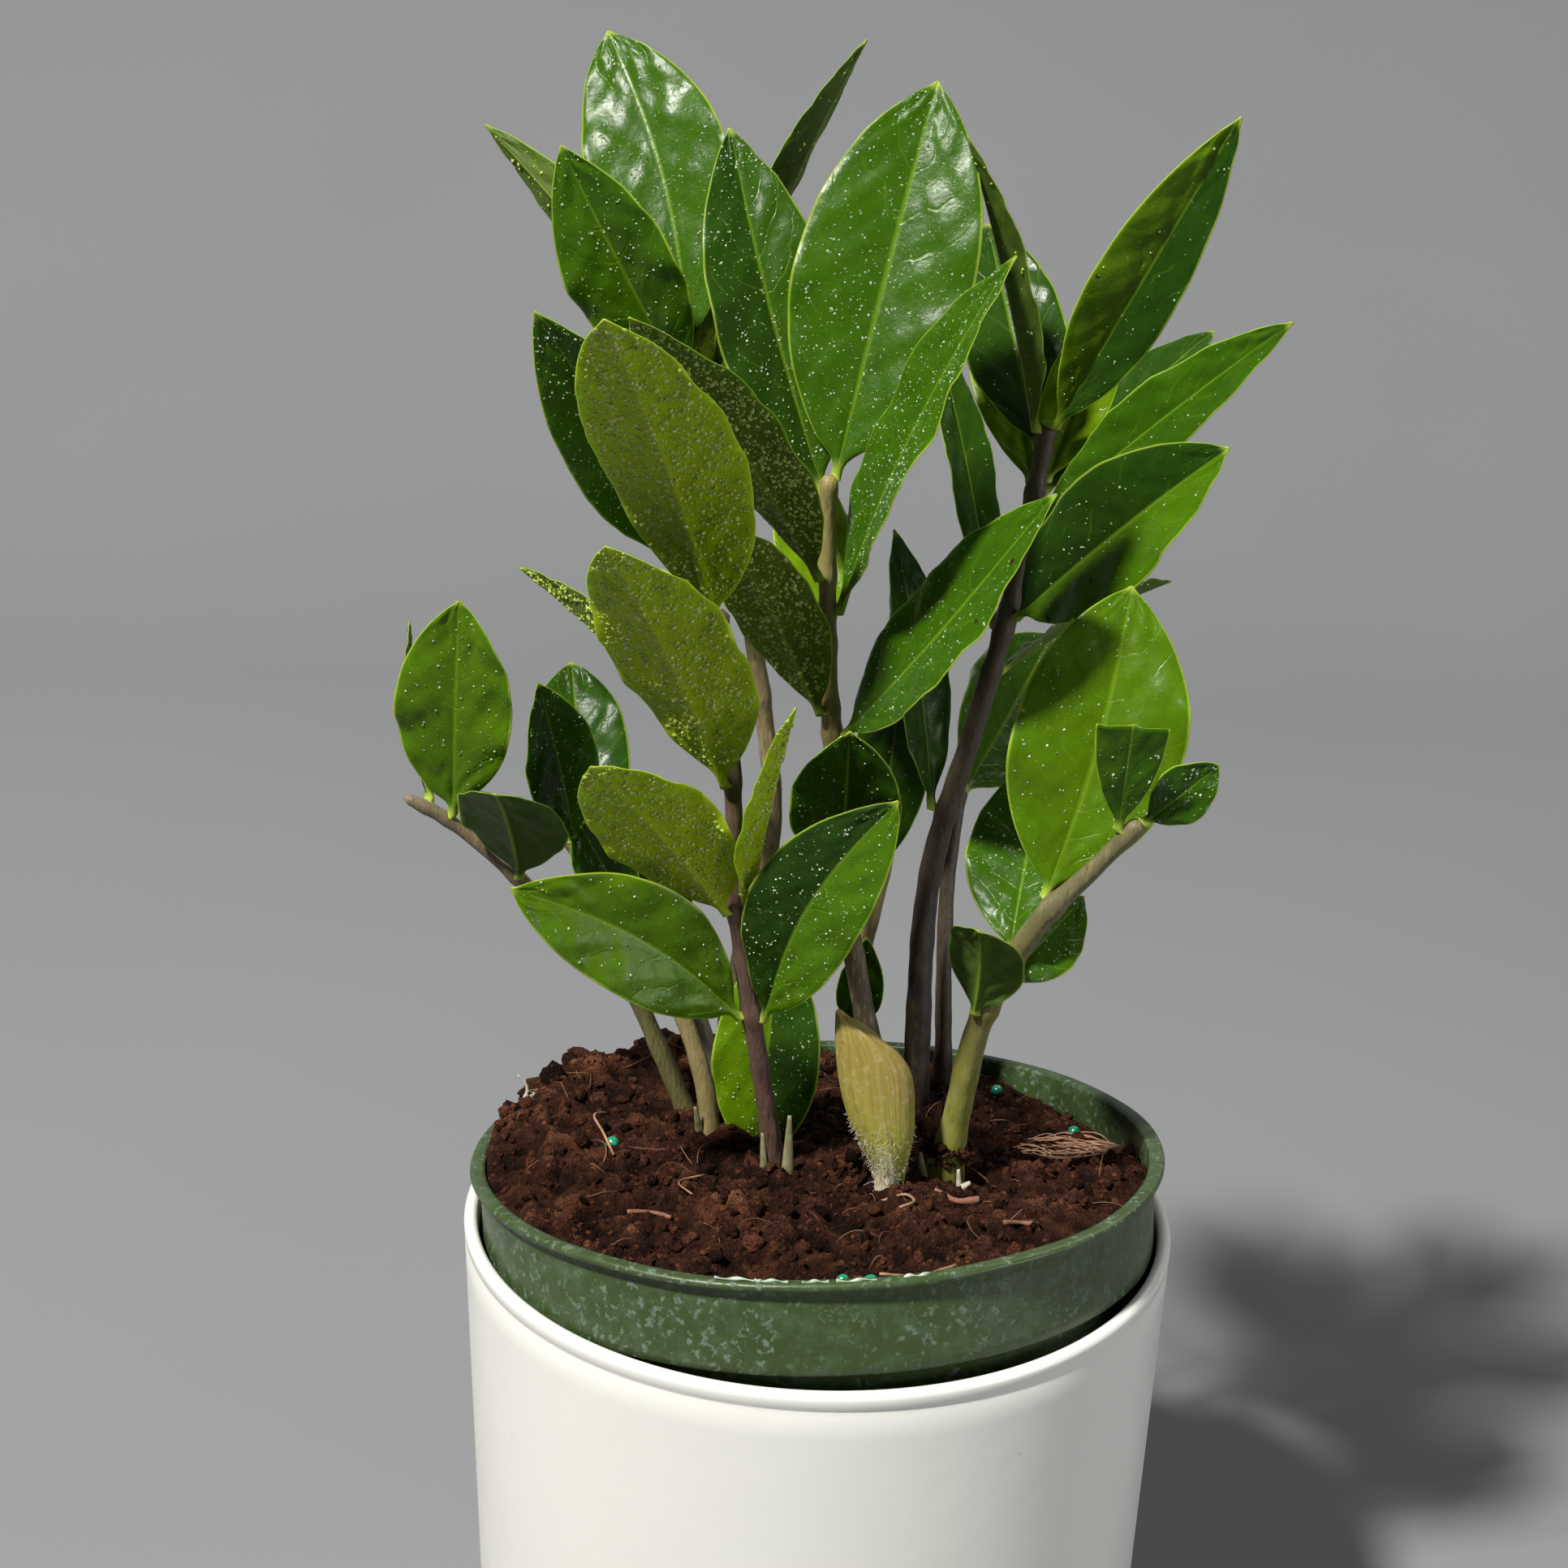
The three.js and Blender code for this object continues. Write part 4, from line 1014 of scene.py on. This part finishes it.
def leaf_nodes(name):
    return [row[1] for row in LEAVES if row[0] == name]


def build_stem(name):
    curve = CURVES[name]
    low, high, streak, swollen = STEM_LOOKS[name]
    down = int(ROOTED_DEPTH / STEM_STEP)
    up = int(curve.length / STEM_STEP)
    shares = np.linspace(0, 1, up + 1)
    centres = [curve.at(0) - [0, 0, STEM_STEP * k] for k in range(down, 0, -1)]
    centres = np.array(centres + [curve.at(u) for u in shares])
    shares = np.concatenate([np.zeros(down), shares])
    tangents = unit(np.gradient(centres, axis=0))
    side = np.array([1.0, 0, 0])
    turns = circle(STEM_SIDES)
    height = centres[:, 2]
    phase = rng.uniform(0, 6, 3)
    rings, marks = [], []
    for i, (centre, tangent, share) in enumerate(zip(centres, tangents, shares)):
        side = unit(side - side.dot(tangent) * tangent)
        across = np.cross(tangent, side)
        radius = stem_radius(name, share)
        radius += 0.4 * swollen * math.exp(-max(height[i] + 2, 0) / 5)
        for node in leaf_nodes(name):
            radius += 0.35 * math.exp(-(((share - node) * curve.length / 2.2) ** 2))
        ridges = 1 + 0.02 * np.sin(5 * turns + phase[0]) + 0.015 * np.sin(9 * turns + phase[1])
        lumps = 1 + 0.03 * math.sin(height[i] / 3.1 + phase[2]) + 0.02 * math.sin(height[i] / 1.3)
        if i == len(centres) - 1:
            radius *= 0.55
        around = side[None] * np.cos(turns)[:, None] + across[None] * np.sin(turns)[:, None]
        rings.append(centre + around * (radius * ridges * lumps)[:, None])
        marks.append(np.stack([np.full(STEM_SIDES, share), turns, np.zeros(STEM_SIDES)], 1))
    points = np.concatenate(rings) + LIFT
    add_mesh("stem_" + name + "_skin", points, ring_faces(len(rings), STEM_SIDES),
             stem_material(name, low, high, streak), ["stem_" + name],
             {"stem": np.concatenate(marks)})


# ---- Leaves --------------------------------------------------------------------------------

FACE_LIFT = 20
STALK_RINGS = 5


def heading_vector(heading, rise):
    h, r = math.radians(heading), math.radians(rise)
    return np.array([math.cos(r) * math.cos(h), math.cos(r) * math.sin(h), math.sin(r)])


def leaf_outline(along, fullness=0.0):
    """Half width in shares of its largest, with a pointed base and tip."""
    place = 2 * np.asarray(along, float) ** (0.9 + 0.05 * fullness) - 1
    bulge = np.where(place < 0, 2.0 + 0.25 * fullness, 2.1 + 0.8 * fullness)
    return np.maximum(1 - np.abs(place) ** bulge, 0) ** np.where(place < 0, 1.1, 0.95)


ALONG = np.unique(np.concatenate([
    np.linspace(0, 0.12, 9), np.linspace(0.12, 0.88, 40), np.linspace(0.88, 0.985, 12), [0.993, 0.998]
]))
HALF_COLUMNS = np.linspace(0, 1, 15) ** 1.5
ACROSS = np.concatenate([-HALF_COLUMNS[:0:-1], HALF_COLUMNS])


class Leaf:
    """A leaf's surfaces: top and bottom grids of points, and the rings of its closed skin."""

    def __init__(self, base, socket, shape, look, cut=1.0, fullness=0.0):
        heading, rise, length, width, face, bend, fold, sway = shape
        self.length, self.width = length, width
        axis = heading_vector(heading, rise)
        normal = heading_vector(face, FACE_LIFT)
        normal = unit(normal - normal.dot(axis) * axis)
        side = np.cross(axis, normal)
        bow = math.radians(max(bend, 1))
        bow_radius = length / (2 * math.sin(bow / 2))
        fold_angle = math.radians(fold)
        phase = rng.uniform(0, 2 * math.pi, 6)
        twist = math.radians(rng.uniform(-5, 5))
        wave = rng.uniform(0.5, 1.2) * width / 30

        s = ALONG[ALONG < cut] if cut < 1 else ALONG
        swing = bow * (s - 0.5)
        spine = (
            base
            + np.outer(bow_radius * (np.sin(swing) + math.sin(bow / 2)), axis)
            + np.outer(bow_radius * (np.cos(swing) - math.cos(bow / 2)), normal)
            + np.outer(sway * np.sin(math.pi * s), side)
        )
        up = np.outer(np.cos(swing), normal) + np.outer(np.sin(swing), axis)
        turn = twist * (s - 0.3)
        sides = np.outer(np.cos(turn), side) + up * np.sin(turn)[:, None]
        ups = up * np.cos(turn)[:, None] - np.outer(np.sin(turn), side)
        half = np.maximum(width / 2 * leaf_outline(np.clip((s - 0.02) / 0.98, 0, 1), fullness), 0.02)
        tip = smoothstep(0.95, 1.0, s)
        half = half * (1 - 0.25 * tip)

        v = ACROSS[None, :]
        fold_shape = np.sqrt(v**2 + 0.0036) - 0.06
        reach = half[:, None]
        out = v * reach * math.cos(fold_angle)
        rise_up = fold_shape * reach * math.sin(fold_angle) - 0.05 * reach * v**2 * np.abs(v)
        left = v < 0
        blade_only = smoothstep(0.05, 0.2, s)[:, None] * (1 - smoothstep(0.92, 1.0, s)[:, None])
        ripple = np.where(
            left,
            np.sin(14.5 * s[:, None] + phase[0]) + 0.5 * np.sin(32 * s[:, None] + phase[1]),
            np.sin(13.2 * s[:, None] + phase[2]) + 0.5 * np.sin(29 * s[:, None] + phase[3]),
        )
        rise_up = rise_up + wave * ripple * np.abs(v) ** 2.2 * np.sin(math.pi * s)[:, None]
        vein_run = VEINS * (s[:, None] - VEIN_SLANT * np.abs(v) ** VEIN_CURVE)
        veins = np.cos(2 * math.pi * (vein_run + phase[4]))
        rise_up = rise_up + 0.05 * veins * np.abs(v) ** 0.5 * (1 - np.abs(v)) * 2
        for size, height in ((14, 0.3), (7, 0.16), (4, 0.07)):
            run, cross, start = length / size, width / size, rng.uniform(0, 2 * math.pi, 4)
            swell = np.sin(2 * math.pi * run * s[:, None] + start[0] + 1.6 * np.sin(3 * v + start[1]))
            swell = swell * np.sin(math.pi * cross * v + start[2] + 1.4 * np.sin(5 * s[:, None] + start[3]))
            rise_up = rise_up + height * swell * smoothstep(0.05, 0.3, np.abs(v)) * blade_only
        middle = (
            spine[:, None]
            + sides[:, None] * out[..., None]
            + ups[:, None] * rise_up[..., None]
        )
        along_step = np.gradient(middle, axis=0)
        across_step = np.gradient(middle, axis=1)
        skin_normal = np.cross(along_step, across_step)
        flip = np.sign((skin_normal * ups[:, None]).sum(-1, keepdims=True))
        skin_normal = unit(skin_normal * np.where(flip == 0, 1, flip) + 1e-12)
        x = v * reach
        thick = 0.2 + 0.28 * (1 - np.abs(v) ** 3) * (1 - 0.7 * s[:, None])
        groove = 0.22 * np.exp(-((x / 0.55) ** 2)) * (1 - s[:, None])
        rib = 0.75 * np.exp(-((x / 0.8) ** 2)) * (1 - 0.8 * s[:, None])
        self.top = middle + skin_normal * (thick / 2 - groove)[..., None]
        self.bottom = middle - skin_normal * (thick / 2 + rib)[..., None]
        self.normal = skin_normal
        self.along = s
        self.rings(middle, sides, ups, spine, s, socket)
        # The look's tone and half shade carry painted light and shade to the material.
        tone_and_shade, _, _, specks, half_shade = look
        self.kind = (tone_and_shade, half_shade, specks)

    def rings(self, middle, sides, ups, spine, s, socket):
        """Each ring goes over the top, round one margin, back under and round the other margin."""
        rim = unit(sides) * 0.14
        over = self.top
        under = self.bottom[:, ::-1]
        right = (middle[:, -1] + rim)[:, None]
        left = (middle[:, 0] - rim)[:, None]
        blade = np.concatenate([over, right, under, left], 1)
        top_angle = np.arccos(np.clip(ACROSS, -1, 1))
        angles = np.concatenate([top_angle, [0], -top_angle[::-1], [math.pi]])
        round_section = (
            sides[:, None] * np.cos(angles)[None, :, None] + ups[:, None] * np.sin(angles)[None, :, None]
        ) * (STALK_WIDTH / 2 * 0.95)
        blend = smoothstep(0.0, 0.1, s)[:, None, None]
        stalk = spine[:, None] + round_section
        skin = stalk * (1 - blend) + blade * blend
        path = []
        for t in np.linspace(0, 1, STALK_RINGS, endpoint=False):
            centre = (1 - t) * socket + t * spine[0]
            path.append(centre + round_section[0] * (1.25 - 0.25 * t))
        self.skin = np.concatenate([np.array(path), skin])
        count = len(ACROSS)
        across = np.concatenate([ACROSS, [1], ACROSS[::-1], [-1]])
        upper = np.concatenate([np.ones(count), [0.5], np.zeros(count), [0.5]])
        along = np.concatenate([np.zeros(STALK_RINGS), s])
        self.marks = np.stack([
            np.repeat(along, len(across)), np.tile(across, len(along)), np.tile(upper, len(along))
        ], 1)

    def sample(self, count, lower):
        """Random places on one side: points, outward normals."""
        grid = self.bottom if lower else self.top
        rows = rng.integers(6, len(self.along) - 5, count)
        weight = leaf_outline(self.along[rows])
        keep = rng.random(count) < weight
        rows = rows[keep]
        v = rng.uniform(-0.93, 0.93, len(rows))
        column = np.interp(v, ACROSS, np.arange(len(ACROSS)))
        low = np.floor(column).astype(int)
        share = (column - low)[:, None]
        step = rng.random((len(rows), 1))
        here = grid[rows, low] * (1 - share) + grid[rows, low + 1] * share
        there = grid[rows + 1, low] * (1 - share) + grid[rows + 1, low + 1] * share
        normal = self.normal[rows, low] * (-1 if lower else 1)
        return here * (1 - step) + there * step, normal


def leaf_base(stem, along, heading, rise):
    """On the stem's surface, on the side the leaf heads for, and the point on its centreline behind it."""
    curve = CURVES[stem]
    tangent = curve.tangent(along)
    outward = heading_vector(heading, rise)
    outward = unit(outward - outward.dot(tangent) * tangent)
    centre = curve.at(along)
    return centre + outward * (stem_radius(stem, along) + FIT_GAP + STALK_WIDTH / 4), centre


def add_leaf(name, leaf, material, replaces):
    rings, sides, _ = leaf.skin.shape
    points = leaf.skin.reshape(-1, 3) + LIFT
    kind = np.tile(leaf.kind, (len(points), 1))
    add_mesh(name, points, ring_faces(rings, sides), material, replaces,
             {"leaf": leaf.marks, "kind": kind})


# ---- Water drops ---------------------------------------------------------------------------


DROP_HEIGHT = 0.72
DROP_DEPTH = 0.25
LEAF_FILL = 0.68  # a blade's area as a share of its length times its width


def dome(sides, rings):
    """A closed drop of radius 1 that sits on z = 0 and reaches a little below it."""
    upper = [(math.cos(a), DROP_HEIGHT * math.sin(a)) for a in np.linspace(0, 1.25, rings)]
    levels = [(0.92, -DROP_DEPTH), *upper]
    points = [(r * math.cos(t), r * math.sin(t), z) for r, z in levels for t in circle(sides)]
    points += [(0, 0, -DROP_DEPTH), (0, 0, DROP_HEIGHT)]
    faces = []
    for i in range(len(levels) - 1):
        for k in range(sides):
            n = (k + 1) % sides
            a = i * sides
            faces += [(a + k, a + n, a + sides + n), (a + k, a + sides + n, a + sides + k)]
    last = (len(levels) - 1) * sides
    for k in range(sides):
        n = (k + 1) % sides
        faces += [(len(points) - 2, n, k), (len(points) - 1, last + k, last + n)]
    return np.array(points), np.array(faces)


def drops_on(leaf, per_cm2, smallest, largest, lower, template):
    """Copies of a drop scattered over one side of a leaf."""
    area = leaf.length * leaf.width * LEAF_FILL / 100
    places, normals = leaf.sample(int(area * per_cm2 * 1.5), lower)
    shapes = []
    for place, normal in zip(places, normals):
        size = smallest + (largest - smallest) * rng.random() ** 2.5
        side = unit(np.cross(normal, [0.3, 0.5, 0.81]))
        across = np.cross(normal, side)
        axes = np.stack([side, across * rng.uniform(0.85, 1.2), normal * rng.uniform(0.8, 1.05)])
        shapes.append(place + template @ axes * size + LIFT)
    return shapes


# ---- The plant -----------------------------------------------------------------------------


def build_leaves():
    """Every leaf, and one piece of water drops for each stem's leaves."""
    material = leaf_material()
    # Pale painted glints and the painted green of the leaf behind give the dew and beads their colour.
    dew = water_material("dew", (0.1, 0.25, 0.02), (0.75, 0.85, 0.62), 0.55)
    beads = water_material("beads", (0.24, 0.34, 0.012), (0.5, 0.58, 0.12), 0.25)
    fine, fine_faces = dome(6, 2)
    counts, wet, beaded = {}, {}, {}
    for stem, along, *shape, look in LEAVES + MORE_LEAVES:
        counts[stem] = counts.get(stem, 0) + 1
        number = counts[stem]
        look = LOOKS[look]
        base, socket = leaf_base(stem, along, shape[0], shape[1])
        cut = CUT_LEAVES.get((stem, number), 1.0)
        leaf = Leaf(base, socket, shape, look, cut, FULLNESS.get((stem, number), 0.0))
        name = f"leaf_{stem}_{number}"
        add_leaf(name + "_blade", leaf, material, [name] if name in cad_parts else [])
        wet.setdefault(stem, []).extend(drops_on(leaf, look[1], 0.1, 0.36, False, fine))
        beaded.setdefault(stem, []).extend(drops_on(leaf, look[2], 0.2, 0.62, True, fine))
    foot, shape, look = BURIED_LEAF
    look = LOOKS[look]
    leaf = Leaf(np.array(foot, float), np.array(foot, float) - [0, 0, 3], shape, look)
    add_leaf("leaf_from_soil_blade", leaf, material, ["leaf_from_soil"])
    wet["soil"] = drops_on(leaf, look[1], 0.1, 0.4, False, fine)
    for kind, material, drops in (("dew_", dew, wet), ("beads_", beads, beaded)):
        for stem, shapes in drops.items():
            if shapes:
                scatter(kind + stem, shapes, fine_faces, material)


def build_shoot():
    """The hooded sheath of the new shoot, its overlapping edge, and the white fuzz at its foot."""
    sides, rings = 72, 80
    turns = circle(sides)
    sections = np.array(SHOOT, float)
    knots = np.linspace(0, 1, len(sections))
    route = Curve(sections[:, :3])
    shape = Curve(np.stack([sections[:, 3], 20 * sections[:, 4], 40 * knots], 1))
    points, marks = [], []
    for t in np.linspace(0, 1, rings):
        height, middle, width = route.at(t)
        depth, slope, _ = shape.at(t)
        slope /= 20
        ridge = 1 + 0.006 * np.sin(17 * turns + 2 * t) + 0.012 * np.sin(5 * turns + 7 * t + 1)
        ridge += 0.008 * np.sin(26 * turns + 11 * t) * np.sin(9 * t + 3 * turns)
        edge = 0.5 * np.clip(1 - ((turns + 1.5 + 1.3 * t) % (2 * math.pi)) / 0.9, 0, 1) * min(1, 8 * (1 - t))
        x = middle + (width / 2 * ridge + edge) * np.cos(turns)
        y = SHOOT_PLACE + (depth / 2 * ridge + edge) * np.sin(turns)
        z = height - slope * (x - middle) + 0.25 * np.sin(5 * turns + 9 * t) * t
        points.append(np.stack([x, y, z], 1))
        fuzz = np.clip(1.25 - 3.6 * t + 0.3 * np.sin(3 * turns) - 0.35 * np.cos(turns), 0, 1)
        marks.append(np.stack([np.full(sides, t), turns / (2 * math.pi), fuzz], 1))
    skin = np.concatenate(points) + LIFT
    add_mesh("new_shoot_sheath", skin, ring_faces(rings, sides),
             sheath_material("shoot_sheath", (0.27, 0.29, 0.03)), ["new_shoot"],
             {"sheath": np.concatenate(marks)})
    white = tinted_material("fuzz", (0.3, 0.27, 0.2), (0.6, 0.56, 0.47), 300, (0.7, 0.9))
    low = skin[int(0.2 * rings) * sides: int(0.48 * rings) * sides]
    centre = np.array([14.5, SHOOT_PLACE, 8]) + LIFT
    strands = []
    for _ in range(FUZZ_STRANDS):
        root = low[rng.integers(len(low))]
        if root[0] > centre[0] + 1 and rng.random() < 0.6:
            continue
        out = unit((root - centre) * [1, 1, 0.1])
        t = np.linspace(0, 1, 6)[:, None]
        bend = rng.normal(size=3) * [1, 1, 0.8] + [0, 0, -0.6]
        length = rng.uniform(0.4, 1.3)
        curl = np.array([math.sin(9 * root[0]), math.cos(7 * root[1]), 0.4]) * 0.35 * length
        path = root + out * length * 0.35 * t + bend * 0.45 * length * t**2 + curl * np.sin(5 * t)
        strands.append(tube_points(path, 0.035, 4))
    scatter("new_shoot_fuzz", strands, ring_faces(6, 4, closed_ends=False), white)


# ---- Stage, light and camera ---------------------------------------------------------------


# In metres, but for the lens and the turn.
FLOOR_FRONT = -9
FLOOR_BACK = 0.9
FLOOR_DROP = 0.0005
SWEEP_RADIUS = 0.7
BACKDROP_TOP = 5
BACKDROP_SIDE = 10
CAMERA_PLACE = (0, -0.4683, 0.3877)
CAMERA_LENS = 54.04
CAMERA_TURN = (-1.243, 18.054, 1.72)  # yaw, pitch down and roll


def build_stage():
    """A plain floor that sweeps up behind into a backdrop."""
    sweep = [
        (FLOOR_BACK + SWEEP_RADIUS * math.sin(a), SWEEP_RADIUS - SWEEP_RADIUS * math.cos(a))
        for a in np.linspace(0.1, math.pi / 2, 12)
    ]
    profile = [(FLOOR_FRONT, 0), (FLOOR_BACK, 0), *sweep, (FLOOR_BACK + SWEEP_RADIUS, BACKDROP_TOP)]
    points = [(x, y, z - FLOOR_DROP) for y, z in profile for x in (-BACKDROP_SIDE, BACKDROP_SIDE)]
    faces = [(2 * i, 2 * i + 1, 2 * i + 3, 2 * i + 2) for i in range(len(profile) - 1)]
    mesh = bpy.data.meshes.new("backdrop")
    mesh.from_pydata(points, [], faces)
    mesh.polygons.foreach_set("use_smooth", [True] * len(faces))
    s = Shader("backdrop_paper", Roughness=0.9, Specular_IOR_Level=0.2)
    s.feed("Base Color", s.mix(s.noise(3, 2), (0.155, 0.16, 0.168), (0.17, 0.175, 0.184)))
    mesh.materials.append(s.material)
    place_object("backdrop", mesh)


def add_light(name, place, target, size, power, colour):
    """A round area light, in metres and watts."""
    data = bpy.data.lights.new(name, "AREA")
    data.shape = "DISK"
    data.size = size
    data.energy = power
    data.color = colour
    light = place_object(name, data)
    light.location = place
    light.rotation_euler = (Vector(target) - Vector(place)).to_track_quat("-Z", "Y").to_euler()


def build_lights():
    middle = (0, 0, 0.24)
    add_light("key", (-1.35, -1.35, 2.85), middle, 0.3, 255, (1.0, 0.975, 0.92))
    add_light("floor_bounce", (1.7, -0.9, 0.2), (0, 0, 0.15), 0.9, 16, (0.98, 0.99, 1.0))
    add_light("back", (1.2, 1.3, 1.9), middle, 1.0, 14, (1.0, 0.99, 0.96))
    world = bpy.data.worlds.new("studio")
    world.use_nodes = True
    sky = world.node_tree.nodes["Background"].inputs
    sky["Color"].default_value = (0.64, 0.66, 0.68, 1)
    sky["Strength"].default_value = 0.19
    bpy.context.scene.world = world


def build_camera():
    data = bpy.data.cameras.new("camera")
    data.sensor_width = 36
    data.lens = CAMERA_LENS
    data.clip_start = 0.01
    camera = place_object("camera", data)
    yaw, pitch, roll = np.radians(CAMERA_TURN).tolist()
    forward = Vector((math.sin(yaw) * math.cos(pitch), math.cos(yaw) * math.cos(pitch), -math.sin(pitch)))
    right = forward.cross(Vector((0, 0, 1))).normalized()
    up = right.cross(forward)
    right, up = (
        math.cos(roll) * right + math.sin(roll) * up,
        -math.sin(roll) * right + math.cos(roll) * up,
    )
    turn = Matrix((right, up, -forward)).transposed()
    camera.matrix_world = Matrix.Translation(CAMERA_PLACE) @ turn.to_4x4()
    bpy.context.scene.camera = camera


build_camera()
build_lights()
build_stage()
build_cachepot()
build_nursery_pot()
ground = build_soil()
build_crumbs(ground)
build_fibres(ground)
build_prills(ground)
build_litter(ground)
build_slivers()
for stem_name in STEMS:
    build_stem(stem_name)
build_leaves()
build_shoot()

bpy.context.scene.view_settings.view_transform = "Standard"
